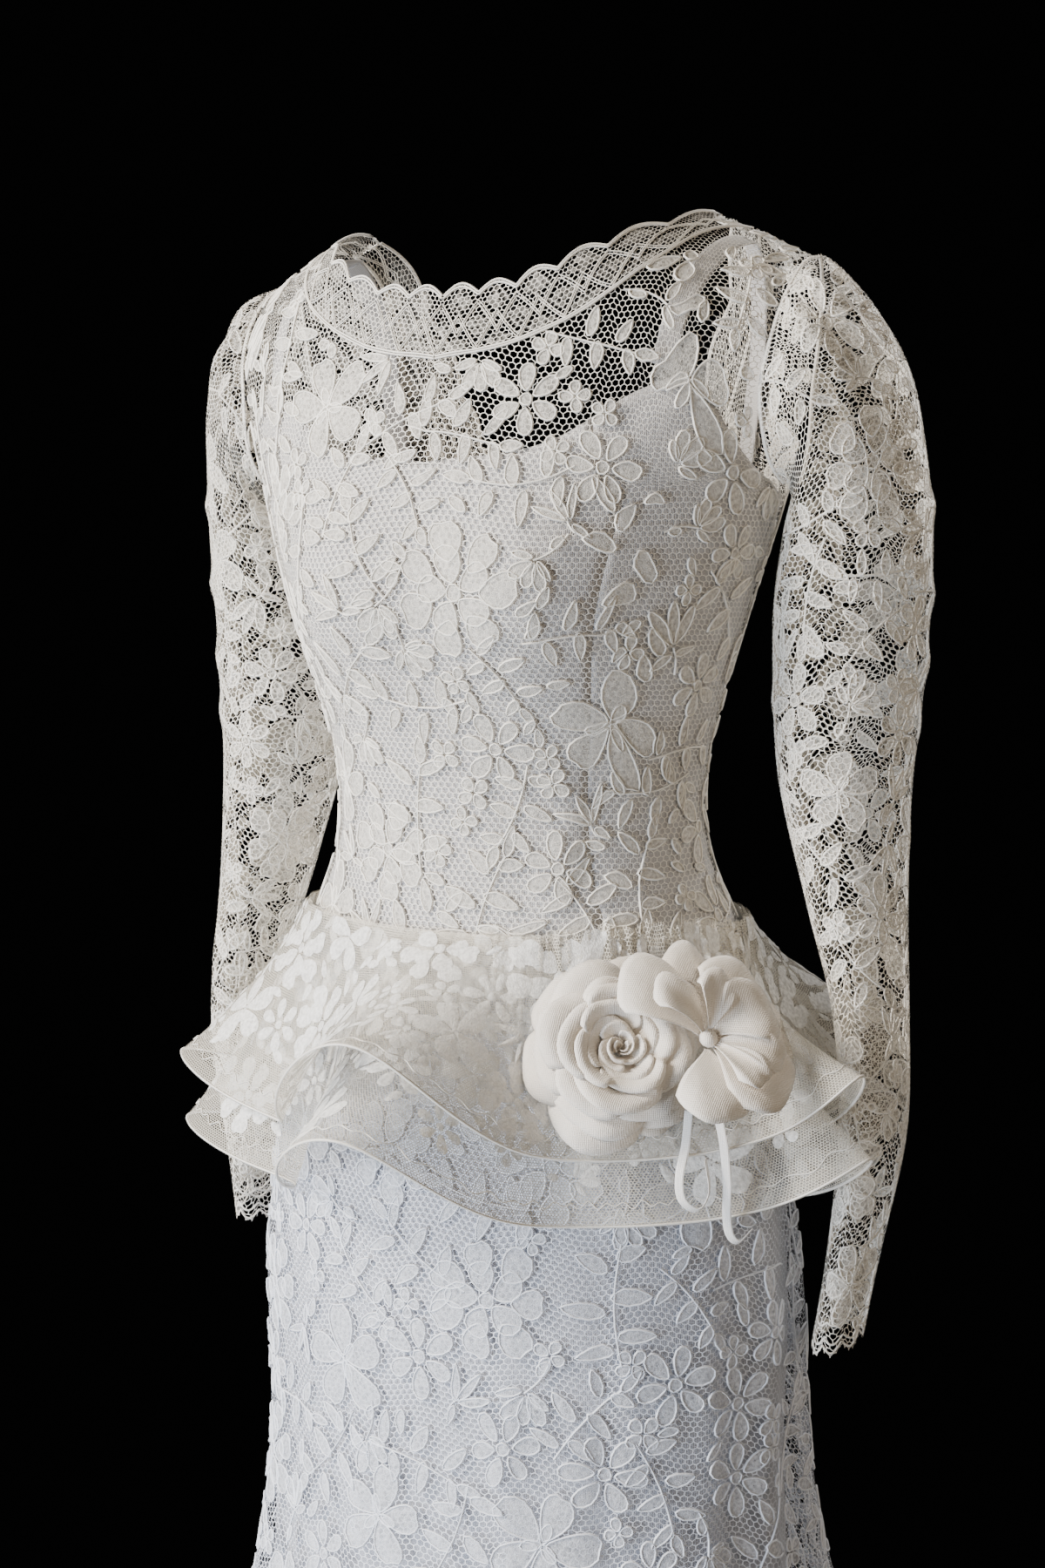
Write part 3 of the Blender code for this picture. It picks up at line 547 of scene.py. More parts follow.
BACK_CREASES = """
    p      q      to_p   to_q   wide   deep
    0.070 -0.330  0.030 -0.350  0.005 -0.0009
   -0.065 -0.350 -0.025 -0.362  0.006 -0.0009
    0.050 -0.410  0.060 -0.300  0.007  0.0010
   -0.050 -0.410 -0.058 -0.310  0.007  0.0010
    0.085 -0.240  0.110 -0.200  0.006 -0.0008
   -0.085 -0.235 -0.112 -0.200  0.006 -0.0008
"""
# On a sleeve p goes round it from its seam and q down it, as shares
SLEEVE_CREASES = """
    p      q      to_p   to_q   wide   deep
    0.30   0.06   0.40   0.22   0.020 -0.0022
    0.62   0.05   0.56   0.20   0.018 -0.0020
    0.48   0.04   0.47   0.20   0.015  0.0014
    0.20   0.30   0.60   0.36   0.012 -0.0020
    0.15   0.38   0.55   0.42   0.010 -0.0024
    0.25   0.47   0.75   0.44   0.011 -0.0022
    0.10   0.53   0.50   0.50   0.010 -0.0020
    0.40   0.58   0.85   0.60   0.011 -0.0016
    0.30   0.66   0.38   0.86   0.020 -0.0014
    0.62   0.62   0.58   0.84   0.022 -0.0014
    0.80   0.30   0.92   0.40   0.012 -0.0018
    0.78   0.50   0.95   0.46   0.011 -0.0018
"""
# On the skirt p is the angle round it in hundreds of degrees and q the height
SKIRT_CREASES = """
    p      q      to_p   to_q   wide   deep
   -0.20  -0.60  -0.24  -1.00   0.030  0.0020
    0.22  -0.58   0.24  -0.95   0.035  0.0022
    0.00  -0.75   0.02  -1.20   0.030 -0.0020
    0.45  -0.56   0.47  -0.90   0.030 -0.0022
   -0.48  -0.58  -0.50  -1.10   0.035 -0.0020
    0.68  -0.55   0.70  -1.00   0.025  0.0024
   -0.70  -0.55  -0.72  -1.00   0.028  0.0022
    1.20  -0.60   1.22  -1.20   0.030 -0.0020
   -1.20  -0.60  -1.24  -1.20   0.030 -0.0020
    1.55  -0.58   1.58  -1.10   0.028  0.0020
   -1.60  -0.58  -1.62  -1.10   0.028  0.0020
"""

# Colours: red, green, blue
NET_CREAM = (0.86, 0.82, 0.74)
PETAL_WHITE = (0.86, 0.82, 0.74)
CORD_CREAM = (0.94, 0.90, 0.82)
WARM_SATIN = (0.50, 0.485, 0.48)
# The skirt's net, petals, cords and satin: the bodice's cloths tinted blue, as painted cool light
# falling on the skirt
PAINTED_COOL_LIGHT_NET = (0.80, 0.83, 0.90)
PAINTED_COOL_LIGHT_PETAL = (0.80, 0.82, 0.87)
PAINTED_COOL_LIGHT_CORD = (0.86, 0.89, 0.96)
PAINTED_COOL_LIGHT_SATIN = (0.46, 0.475, 0.53)
TULLE_BEIGE = (0.72, 0.67, 0.57)
SOFT_WHITE = (0.92, 0.91, 0.88)
ROSE_CREAM = (0.90, 0.83, 0.74)
RIBBON_WHITE = (0.90, 0.87, 0.83)
FLOOR_COLOUR = (0.72, 0.71, 0.69)
WORLD_COLOUR = (0.0015, 0.0015, 0.0015)
FLOOR_RADIUS = 1.0

# Nets: the holes' pitch, the thread's width, how uneven they are and how much
# finer cloth fills the holes
NETS = (
    ("net", "corded_net", NET_CREAM, 0.0046, 0.00058, 0.0022, 0.0),
    # The skirt's net: the corded net tinted blue, painted cool light
    ("cool_net", "skirt_net", PAINTED_COOL_LIGHT_NET, 0.0046, 0.00058, 0.0022, 0.0),
    ("fine_net", "edging_net", NET_CREAM, 0.0036, 0.00050, 0.0010, 0.0),
    ("tulle", "peplum_net", TULLE_BEIGE, 0.0021, 0.00040, 0.0004, 0.06),
)
# Lace petals: how solid they are in the middle and at the rim
PETAL_CLOTHS = (
    ("petal", "lace_petals", PETAL_WHITE, 0.50, 1.00),
    # The skirt's petals: the lace petals tinted blue, painted cool light
    ("cool_petal", "skirt_petals", PAINTED_COOL_LIGHT_PETAL, 0.50, 1.00),
    ("thin_petal", "edging_petals", PETAL_WHITE, 0.15, 0.90),
    ("soft_petal", "soft_petals", SOFT_WHITE, 0.80, 1.00),
)
CORD_CLOTHS = (
    ("cord", "lace_cord", CORD_CREAM),
    # The skirt's cord: the lace cord tinted blue, painted cool light
    ("cool_cord", "skirt_cord", PAINTED_COOL_LIGHT_CORD),
)
# Weaves: roughness, sheen, pitch, depth, how solid and how crumpled they are
WEAVES = (
    ("satin", "lining_satin", WARM_SATIN, 0.40, 0.30, 0.0005, 0.0003, 1.0, 0.0),
    # The skirt's lining: the lining satin tinted blue, painted cool light
    ("cool_satin", "skirt_satin", PAINTED_COOL_LIGHT_SATIN, 0.40, 0.30, 0.0005, 0.0003, 1.0, 0.0),
    ("organza", "organza", TULLE_BEIGE, 0.45, 0.3, 0.0006, 0.0002, 0.14, 0.0),
    ("rose", "rose_cloth", ROSE_CREAM, 0.62, 0.4, 0.0005, 0.0003, 1.0, 9.0),
    ("ribbon", "ribbon_satin", RIBBON_WHITE, 0.32, 0.2, 0.0005, 0.0002, 1.0, 0.0),
)

# The camera, and soft lights with their place, the height they aim at, size,
# power and colour
CAMERA_PLACE = (0.5993, -1.1761, -0.18)
CAMERA_DOWN = 6.8
CAMERA_ROUND = 27.0
LIGHTS = """
    x     y     z     aim_z  size  watts  red   green  blue
   -1.50 -1.55  0.80 -0.25   0.70  150    1.00  0.93   0.84
   -0.80 -1.90 -0.80 -0.80   0.80  58     0.78  0.87   1.00
    1.80 -1.00  0.30 -0.40   0.90  12     1.00  0.84   0.66
    0.60  2.00  0.70 -0.50   1.20  22     1.00  0.97   0.94
   -1.60  1.30 -0.30 -0.70   1.20  12     0.94  0.97   1.00
"""


def columns(text):
    """The named columns of a table, as arrays."""
    names, *rows = [line.split() for line in text.strip().splitlines()]
    return dict(zip(names, np.array(rows, float).T))


def smooth(table, key, name, at):
    """A column of the table read off a smooth curve through its rows."""
    known, values = table[key], table[name]
    if known[0] > known[-1]:
        known, values = known[::-1], values[::-1]
    slopes = np.gradient(values, known)
    at = np.clip(at, known[0], known[-1])
    row = np.clip(np.searchsorted(known, at, side="right") - 1, 0, len(known) - 2)
    step = known[row + 1] - known[row]
    t = (at - known[row]) / step
    start, end = values[row], values[row + 1]
    rise_start, rise_end = slopes[row] * step, slopes[row + 1] * step
    return (
        (1 + 2 * t) * (1 - t) ** 2 * start
        + t * (1 - t) ** 2 * rise_start
        + t * t * (3 - 2 * t) * end
        + t * t * (t - 1) * rise_end
    )


def table_rows(text):
    """The rows of a table, each with its columns' names."""
    table = columns(text)
    return [dict(zip(table, values)) for values in zip(*table.values())]


BODY_ROWS = columns(BODY)
LINING_ROWS = columns(LINING_SKIRT)
SLEEVE_ROWS = columns(SLEEVE)
FLUTE_ROWS = columns(FLUTES)
FOLD_ROWS = columns(SKIRT_FOLDS)


def body(name, z):
    """A column of the body's table at a height."""
    return smooth(BODY_ROWS, "z", name, z)


def ease(t):
    """From 0 to 1 with level ends."""
    t = np.clip(t, 0, 1)
    return t * t * (3 - 2 * t)


# The bodice


def shoulder_line(x):
    """Height of the shoulder over a point across the body."""
    away = np.abs(x) - NECK_POINT_X
    return NECK_POINT_Z - np.where(away > 0, SHOULDER_SLOPE, 0.5) * away


def armhole_angle(z):
    """How far round the body a panel reaches, in radians, at a height."""
    t = np.clip((z - ARMPIT_Z) / ARMHOLE_ROUND, 0, 1)
    hooked = 1 - np.sqrt(1 - (1 - t) ** 2)
    return np.radians(ARMHOLE_HALF_ANGLE + (90 - ARMHOLE_HALF_ANGLE) * hooked)


def cups(x, z):
    """The bust cups' reach in front of the plain section."""
    height = np.exp(-(((z - CUP_Z) / CUP_SPREAD_Z) ** 2))
    left = np.exp(-(((x - CUP_X) / CUP_SPREAD_X) ** 2))
    right = np.exp(-(((x + CUP_X) / CUP_SPREAD_X) ** 2))
    return CUP_DEPTH * height * (left + right)


def bodice_point(side, angle, z):
    """A point on the bodice. side is -1 in front and 1 behind, and angle is
    round from the centre line in radians."""
    x = body("half_width", z) * np.sin(angle)
    depth = body("front" if side < 0 else "back", z)
    if side < 0:
        depth = depth + cups(x, z)
    below = np.clip((shoulder_line(x) - z) / SHOULDER_ROUND, 0, 1)
    rounded = np.clip(np.sqrt(1 - (1 - below) ** 2), 0.012, 1)
    y = side * depth * np.cos(angle) * rounded + SHOULDER_Y * (1 - rounded)
    return np.stack([x, y, z], -1)


def bodice_at(side, x, z):
    """A point on the bodice at a place across it and a height."""
    half_width = body("half_width", z)
    return bodice_point(side, np.arcsin(np.clip(x / half_width, -1, 1)), z)


def lace_top(text, across):
    """The height of a lace panel's top edge: the neckline, then the shoulder."""
    neck = smooth(columns(text), "across", "z", np.abs(across))
    x = YOKE_HALF_WIDTH * np.sin(np.abs(across) * np.radians(ARMHOLE_HALF_ANGLE))
    return np.where(np.abs(across) >= YOKE_SHARE - 1e-6, shoulder_line(x), neck)


def risen(across, v):
    """How far up its panel a place is, with the rows closer over the shoulder."""
    near_top = 1 - ROWS_STEEPER * (1 - v) ** 2 / (2 * (1 - ROWS_CLOSE_FROM))
    over = np.where(v < ROWS_CLOSE_FROM, ROWS_STEEPER * v, near_top)
    return v + (over - v) * ease((np.abs(across) - YOKE_SHARE + ROWS_BLEND / 2) / ROWS_BLEND)


def bodice_panel(side, top_text, over_shoulder, from_across, to_across):
    """The surface of a bodice panel between two places across the body, where
    0 is the centre and -1 and 1 are the side seams and armholes."""
    bottom = WAIST_SEAM_Z + SEAM_GAP

    def surface(u, v):
        v = np.clip(v, 0, 1)
        across = from_across + (to_across - from_across) * u
        if over_shoulder:
            z = bottom + (lace_top(top_text, across) - bottom) * risen(across, v)
        else:
            top = smooth(columns(top_text), "across", "z", np.abs(across))
            z = bottom + (top - bottom) * v
        seam = SEAM_GAP / body("half_width", z)
        angle = across * (armhole_angle(z) - seam)
        return bodice_point(side, angle, z)

    return surface


def bodice_face(side, top_text, from_across, to_across):
    """The bodice without its armholes' slant, so that motifs keep their form,
    and what holds places on it inside the armholes."""
    bottom = WAIST_SEAM_Z + SEAM_GAP
    quarter = np.radians(90)

    def angle_and_height(u, v):
        angle = (from_across + (to_across - from_across) * u) * quarter
        across = np.clip(angle / np.radians(ARMHOLE_HALF_ANGLE), -1, 1)
        top = lace_top(top_text, across)
        return angle, bottom + (top - bottom) * risen(across, np.clip(v, 0, 1))

    def surface(u, v):
        angle, z = angle_and_height(u, v)
        return bodice_point(side, angle, z)

    def kept(places):
        angle, z = angle_and_height(places[:, 0], places[:, 1])
        most = armhole_angle(z) - 3 * SEAM_GAP / body("half_width", z)
        held = np.clip(angle, -most, most)
        u = (held / quarter - from_across) / (to_across - from_across)
        return within(np.stack([u, places[:, 1]], -1))

    return surface, kept


def strap(sign):
    """A lining strap over the shoulder, from the front lining to the back."""
    rows = columns(STRAP)
    place = np.linspace(0, 1, len(rows["x"]))

    def surface(u, v):
        v = np.clip(v, 0, 1)
        x = np.interp(v, place, rows["x"]) + (u - 0.5) * 2 * STRAP_HALF_WIDTH
        z = shoulder_line(x) - np.interp(v, place, rows["below"])
        front = bodice_at(-1, x, z)
        back = bodice_at(1, x, z)
        point = np.where((v <= place[STRAP_TOP_POINT] + 1e-6)[:, None], front, back)
        under = STRAP_UNDER * (0.25 + 0.75 * np.sin(np.pi * v) ** 0.5)
        point[:, 1] -= np.sign(point[:, 1] - SHOULDER_Y) * under
        point[:, 2] -= under
        return point * (sign, 1, 1)

    return surface


def neckline(side, lace_text, across):
    """Where the lace panel's top edge runs, from column to column."""
    z = lace_top(lace_text, across)
    points = bodice_point(side, across * armhole_angle(z), z)
    return points[:, 0], points[:, 2]


def edging(side, lace_text, text, scallops, sign):
    """Half of the scalloped edging, from the centre to the shoulder."""
    rows = columns(text)

    def surface(u, v):
        along = np.clip(u, 0, 1)
        across = along * YOKE_SHARE
        low_x, low_z = neckline(side, lace_text, across)
        high_x = smooth(rows, "along", "x", along)
        high_z = smooth(rows, "along", "z", along)
        wide = np.hypot(high_x - low_x, high_z - low_z)
        bump = SCALLOP_DEPTH * (np.abs(np.sin(np.pi * scallops * u)) - 0.7)
        share = v * (wide + bump) / wide
        x = np.maximum(low_x + (high_x - low_x) * share, 0.0002)
        z = np.minimum(low_z + (high_z - low_z) * share, shoulder_line(x))
        point = bodice_at(side, x, z)
        point[:, 1] += side * EDGING_END_GAP * np.clip((u - 0.9) * 10, 0, 1)
        return point * (sign, 1, 1)

    return surface


# The sleeves


def armhole_edge(around):
    """The armhole's own line, which the sleeve is set into. around is 0 at the
    shoulder, a quarter in front and half at the armpit."""
    turn = 2 * np.pi * around
    side = np.ones(1)
    low = smooth(columns(LINING_FRONT_TOP), "across", "z", side)[0]
    high = lace_top(LACE_FRONT_TOP, side)[0]
    height = low + (high - low) * np.sin(np.linspace(0, np.pi / 2, 60))
    angle = armhole_angle(height) - SEAM_GAP / body("half_width", height)
    front = bodice_point(-1, angle, height)
    back = bodice_point(1, angle, height)
    middle = (front[0, 2] + front[-1, 2]) / 2
    z = middle + (front[-1, 2] - middle) * np.cos(turn)
    in_front = np.stack([np.interp(z, front[:, 2], front[:, axis]) for axis in range(3)], -1)
    behind = np.stack([np.interp(z, back[:, 2], back[:, axis]) for axis in range(3)], -1)
    point = np.where((np.sin(turn) >= 0)[:, None], in_front, behind)
    outward = point - (0, 0, middle)
    outward[:, 0] = 0
    outward = outward / np.linalg.norm(outward, axis=1)[:, None]
    moved = point + outward * LACE_OUT
    moved[:, 0] += LACE_OUT + ARMHOLE_GAP + ARMPIT_CLEAR * ease(-np.cos(turn) * 1.5)
    return moved


def sleeve(sign, from_around, to_around):
    """A sleeve between two places round it, from the wrist up."""
    rings = SLEEVE_ROWS["ring"][-1]

    def surface(u, v):
        ring = (1 - v) * rings

        def at(name):
            return smooth(SLEEVE_ROWS, "ring", name, ring)

        around = from_around + (to_around - from_around) * u
        turn = 2 * np.pi * around
        tilt = np.radians(at("tilt"))
        gather = SLEEVE_GATHER_DEPTH * np.cos(2 * np.pi * around * SLEEVE_GATHERS)
        gather = gather * np.clip(np.cos(turn) * 3, 0, 1) * ease(ring / 0.6)
        gather = gather * np.clip(1 - (ring - 0.6) / 2.4, 0, 1)
        out = (at("half_out") + gather) * np.cos(turn)
        deep = (at("half_deep") + gather) * np.sin(turn)
        scallop = CUFF_SCALLOP_DEPTH * np.abs(np.sin(np.pi * CUFF_SCALLOPS * around))
        drop = scallop * np.clip(ring - rings + 0.6, 0, 1) / 0.6
        arm = np.stack([
            at("x") + out * np.cos(tilt),
            at("y") - deep,
            at("z") + out * np.sin(tilt) - drop,
        ], -1)
        if sign < 0:
            outer = ease(ring / 2) * (0.5 + 0.5 * np.cos(turn))
            arm[:, 0] -= RIGHT_SLEEVE_IN * np.maximum(ease((ring - 3) / 3), outer)
            arm[:, 2] += RIGHT_WRIST_UP * ease((ring - 8) / 3)
        set_in = ease(1 - ring / 1.2)[:, None]
        start = armhole_edge(around)
        start[:, 0] += 0.012 * ring
        return (start * set_in + arm * (1 - set_in)) * (sign, 1, 1)

    return surface


# The skirt and the peplum


def skirt_folds(angle, z):
    """How far the lace skirt's folds stand out of its plain section."""
    total = np.zeros_like(z)
    for place, spread, height, top in zip(
        FOLD_ROWS["angle"], FOLD_ROWS["spread"], FOLD_ROWS["height"], FOLD_ROWS["top"]
    ):
        away = (np.degrees(angle) - place + 180) % 360 - 180
        reach = np.clip((top - z) / (top - HEM_Z), 0, 1) ** 1.3
        total = total + height * reach * np.exp(-((away / spread) ** 2))
    return total


def skirt_panel(rows, folded, middle, hem):
    """The surface of the front or back skirt panel, half way round the body
    from its middle's angle."""

    def held_in(name, z):
        return np.minimum(smooth(rows, "z", name, z), body(name, z))

    def surface(u, v):
        z = hem + (SKIRT_TOP_Z - hem) * v
        half_width = held_in("half_width", z)
        reach = np.radians(90) - SIDE_GAP / half_width
        angle = np.radians(middle) + (2 * u - 1) * reach
        stand = skirt_folds(angle, z) if folded else 0
        depth = np.where(np.cos(angle) > 0, held_in("front", z), held_in("back", z))
        x = (half_width + stand) * np.sin(angle)
        y = -(depth + stand) * np.cos(angle)
        return np.stack([x, y, z], -1)

    return surface


def waist_point(degrees, stand, z):
    """A point outside the waist seam, at an angle round it."""
    angle = np.radians(degrees)
    level = np.full_like(angle, WAIST_SEAM_Z)
    half_width = body("half_width", level)
    front = body("front", level)
    back = body("back", level)
    depth = np.where(np.cos(angle) > 0, front, back)
    x = (half_width + stand) * np.sin(angle)
    y = -(depth + stand) * np.cos(angle)
    return np.stack([x, y, z], -1)


def peplum_panel(length, lift_name, out, from_angle, to_angle):
    """Half of a peplum tier, from its gathered heading to its fluted hem."""

    def surface(u, v):
        down = np.clip(1 - v, 0, 1)
        degrees = from_angle + (to_angle - from_angle) * u
        lift = np.radians(smooth(FLUTE_ROWS, "angle", lift_name, (degrees + 180) % 360 - 180))
        bend = lift * (0.45 + 0.55 * np.sqrt(down))
        reach = length * down * np.sin(bend)
        drop = length * down * np.cos(bend)
        gather = np.cos(PEPLUM_GATHERS * np.radians(degrees)) * 0.5 + 0.5
        gather = PEPLUM_GATHER_DEPTH * gather * (1 - down)
        z = WAIST_SEAM_Z + PEPLUM_HEADING - drop
        return waist_point(degrees, out + reach + gather, z)

    return surface


def flower_frame(flower):
    """A flower's middle and the ways it faces: outward, sideways and up."""
    turned, tilt = np.radians(flower["angle"]), np.radians(flower["tilt"])
    level = np.array([np.sin(turned), -np.cos(turned), 0.0])
    outward = level * np.cos(tilt) + np.array([0, 0, np.sin(tilt)])
    up = np.array([0, 0, np.cos(tilt)]) - level * np.sin(tilt)
    sideways = np.array([np.cos(turned), np.sin(turned), 0.0])
    middle = waist_point(np.array([flower["angle"]]), flower["stand"], np.array([flower["z"]]))[0]
    return middle, outward, sideways, up


def ribbon(number):
    """The surface of a ribbon along its points, turned part way edge on."""
    table = columns(RIBBONS)
    mine = table["ribbon"] == number
    rows = {name: values[mine] for name, values in table.items()}
    rows["place"] = np.linspace(0, 1, mine.sum())
    angle = np.radians(RIBBON_ANGLE)
    outward = np.array([np.sin(angle), -np.cos(angle), 0.0])
    sideways = np.array([np.cos(angle), np.sin(angle), 0.0])
    level = np.array([WAIST_SEAM_Z])
    seam = waist_point(np.array([float(RIBBON_ANGLE)]), 0.0, level)[0]
    turn = np.radians(RIBBON_TURN)

    def surface(u, v):
        def at(name, place):
            return smooth(rows, "place", name, place)

        side, z = at("side", v), at("z", v)
        along_side = at("side", v + 0.01) - at("side", v - 0.01)
        along_z = at("z", v + 0.01) - at("z", v - 0.01)
        length = np.hypot(along_side, along_z)
        wide = (u - 0.5) * RIBBON_WIDTH
        side = side + wide * np.cos(turn) * -along_z / length
        z = z + wide * np.cos(turn) * along_side / length
        stand = at("stand", v) + wide * np.sin(turn)
        point = np.outer(side, sideways) + np.outer(stand, outward) + seam
        point[:, 2] = z
        return point

    return surface


# Shells


def around_tube(sign):
    """A whole sleeve, with its seam under the arm."""
    return sleeve(sign, -0.5, 0.5) if sign > 0 else sleeve(sign, 0.5, -0.5)


def normals(surface, u, v):
    """The ways a surface faces at its points."""
    along = surface(u + STEP, v) - surface(u - STEP, v)
    up = surface(u, v + STEP) - surface(u, v - STEP)
    facing = np.cross(along, up)
    return facing / np.maximum(np.linalg.norm(facing, axis=-1), 1e-12)[:, None]


def lifted(surface, height):
    """The surface moved out along its normals, by a length or by a function of
    its points and places."""

    def moved(u, v):
        point = surface(u, v)
        out = height(point, u, v) if callable(height) else np.full_like(u, height)
        return point + normals(surface, u, v) * out[:, None]

    return moved


def turned_over(surface):
    """The surface run the other way across, so that it faces the other way."""
    return lambda u, v: surface(1 - u, v)


def troughs(text, p, q):
    """The depth of soft creases at places in a plane. Each row is a line in it
    with a width and a depth, and it fades out towards its ends."""
    table = columns(text)
    total = np.zeros_like(p)
    for row in zip(*(table[name] for name in ("p", "q", "to_p", "to_q", "wide", "deep"))):
        from_p, from_q, to_p, to_q, wide, deep = row
        length = np.hypot(to_p - from_p, to_q - from_q)
        ahead = ((p - from_p) * (to_p - from_p) + (q - from_q) * (to_q - from_q)) / length
        aside = ((p - from_p) * (to_q - from_q) - (q - from_q) * (to_p - from_p)) / length
        fade = np.exp(-(((ahead / length - 0.5) / 0.42) ** 4))
        total = total + deep * fade * np.exp(-((aside / wide) ** 2))
    return total


def body_creases(text):
    """The creases of a table, with p across the body and q the height."""
    return lambda point, u, v: troughs(text, point[:, 0], point[:, 2])


def sleeve_creases(point, u, v):
    """Creases of a sleeve, with p round it from its seam and q down it."""
    return troughs(SLEEVE_CREASES, u, 1 - v)


def skirt_creases(point, u, v):
    """Creases of the skirt, with p the angle round it and q the height."""
    degrees = np.degrees(np.arctan2(point[:, 0], -point[:, 1]))
    return troughs(SKIRT_CREASES, degrees / 100, point[:, 2])


def mesh_object(name, vertices, faces, cloth):
    mesh = bpy.data.meshes.new(name)
    mesh.from_pydata(vertices.tolist(), [], faces)
    mesh.materials.append(cloth)
    mesh.shade_smooth()
    made = bpy.data.objects.new(name, mesh)
    bpy.context.scene.collection.objects.link(made)
    return made


def grid_faces(across, down):
    """The quads of a grid of points, row by row."""
    corner = (np.arange(down)[:, None] * (across + 1) + np.arange(across)).reshape(-1)
    quads = np.stack([corner, corner + 1, corner + across + 2, corner + across + 1], -1)
    return quads.tolist()


def cloth_places(points):
    """Each grid point's place on the flat cloth: along its row from the middle
    column, and up its column from the bottom row."""
    along = np.linalg.norm(np.diff(points, axis=1), axis=-1)
    up = np.linalg.norm(np.diff(points, axis=0), axis=-1)
    along = np.pad(np.cumsum(along, 1), ((0, 0), (1, 0)))
    along = along - along[:, along.shape[1] // 2][:, None]
    up = np.pad(np.cumsum(up, 0), ((1, 0), (0, 0)))
    return np.stack([along, up], -1)


def shell(name, surface, grid, cloth, wall=0.0, gathered=False):
    """A grid on a surface, with its flat cloth as its UVs. Gathered cloth keeps
    its hem's width all the way up."""
    across, down = grid
    u, v = np.meshgrid(np.linspace(0, 1, across + 1), np.linspace(0, 1, down + 1))
    points = surface(u.ravel(), v.ravel())
    faces = grid_faces(across, down)
    made = mesh_object(name, points, faces, cloth)
    flat = cloth_places(points.reshape(down + 1, across + 1, 3))
    if gathered:
        flat[:] = np.stack(np.meshgrid(flat[0, :, 0], flat[:, across // 2, 1]), -1)
    flat = flat.reshape(-1, 2)
    layer = made.data.uv_layers.new(name="cloth")
    layer.data.foreach_set("uv", flat[np.array(faces).ravel()].ravel())
    if wall:
        solid = made.modifiers.new("wall", "SOLIDIFY")
        solid.thickness = wall
        solid.offset = 0
    return made


def measured(made, across):
    """The width, length and area of the cloth that a shell was cut from."""
    mesh = made.data
    points = np.empty(len(mesh.vertices) * 3)
    mesh.vertices.foreach_get("co", points)
    flat = cloth_places(points.reshape(-1, across + 1, 3))
    width = np.ptp(flat[:, :, 0], axis=1).max()
    length = flat[-1, :, 1].max()
    area = sum(face.area for face in mesh.polygons)
    return float(width), float(length), float(area)


def cloth_sheet(made, grid, nodes, trims=()):
    """Measures the cloth a shell was cut from, hangs the shell and its trims from
    the root and hides the CAD parts it stands for.
    """
    width, length, area = measured(made, grid[0])
    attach(made, "root")
    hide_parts(*nodes)
    for trim in trims:
        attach(trim, "root")


# Lace


def wavy(angle, places):
    """A small unevenness, so that no two petals are alike."""
    return places * (1 + 0.07 * np.sin(3 * np.arctan2(places[:, 1], places[:, 0]) + angle))[:, None]


def petal_outline(row):
    """A closed petal in a motif of radius 1, from its row of the table."""
    turn = np.linspace(0, 2 * np.pi, int(row["points"]), endpoint=False)
    up = (1 - np.cos(turn)) / 2
    wide = row["width"] * np.sin(turn) * (0.3 + 0.7 * up ** max(row["blunt"], 0.01))
    wide = wide * (1.02 - up) ** row["sharp"]
    ahead = row["start"] + (row["end"] - row["start"]) * up
    ahead = ahead * (1 - row["notch"] * up ** 6 * np.cos(turn * 3) ** 2)
    return np.stack([ahead, wide + row["bend"] * up ** 2], -1)


def rotated(places, angle):
    """Places turned by an angle round the origin."""
    cos, sin = np.cos(angle), np.sin(angle)
    return places @ np.array([[cos, sin], [-sin, cos]])


def motif_petals(text):
    """The petal outlines of each motif."""
    petals = {}
    for row in table_rows(text):
        for number in range(int(row["count"])):
            angle = np.radians(row["from"] + row["fan"] * number)
            outline = rotated(petal_outline(row), angle) + (row["x"], row["y"])
            petals.setdefault(int(row["motif"]), []).append(outline)
    return petals


def stems(text):
    """The open cords of each motif."""
    table = columns(text)
    lines = {}
    for motif, x, y, to_x, to_y, bow in zip(*table.values()):
        along = np.linspace(0, 1, 7)
        line = np.outer(1 - along, (x, y)) + np.outer(along, (to_x, to_y))
        aside = np.array([y - to_y, to_x - x])
        lines.setdefault(int(motif), []).append(line + np.outer(bow * np.sin(np.pi * along), aside))
    return lines


MOTIF_PETALS = motif_petals(PETALS)
MOTIF_STEMS = stems(STEMS)


def within(places):
    """Places held just inside a panel's edges."""
    return np.clip(places, EDGE_IN, 1 - EDGE_IN)


def round_tube(places):
    """Places held inside a tube's ends, going on over its seam."""
    return np.clip(places, (-1, EDGE_IN), (2, 1 - EDGE_IN))


def unit_steps(surface, u, v):
    """How u and v change for a metre across and a metre up the cloth."""
    along = (surface(u + STEP, v) - surface(u - STEP, v)) / (2 * STEP)
    up = (surface(u, v + STEP) - surface(u, v - STEP)) / (2 * STEP)
    across = along / np.linalg.norm(along, axis=1)[:, None]
    facing = np.cross(along, up)
    facing = facing / np.linalg.norm(facing, axis=1)[:, None]
    over = np.cross(facing, across)
    matrix = np.stack([
        np.stack([(along * across).sum(1), (up * across).sum(1)], -1),
        np.stack([(along * over).sum(1), (up * over).sum(1)], -1),
    ], -2)
    return np.linalg.inv(matrix)


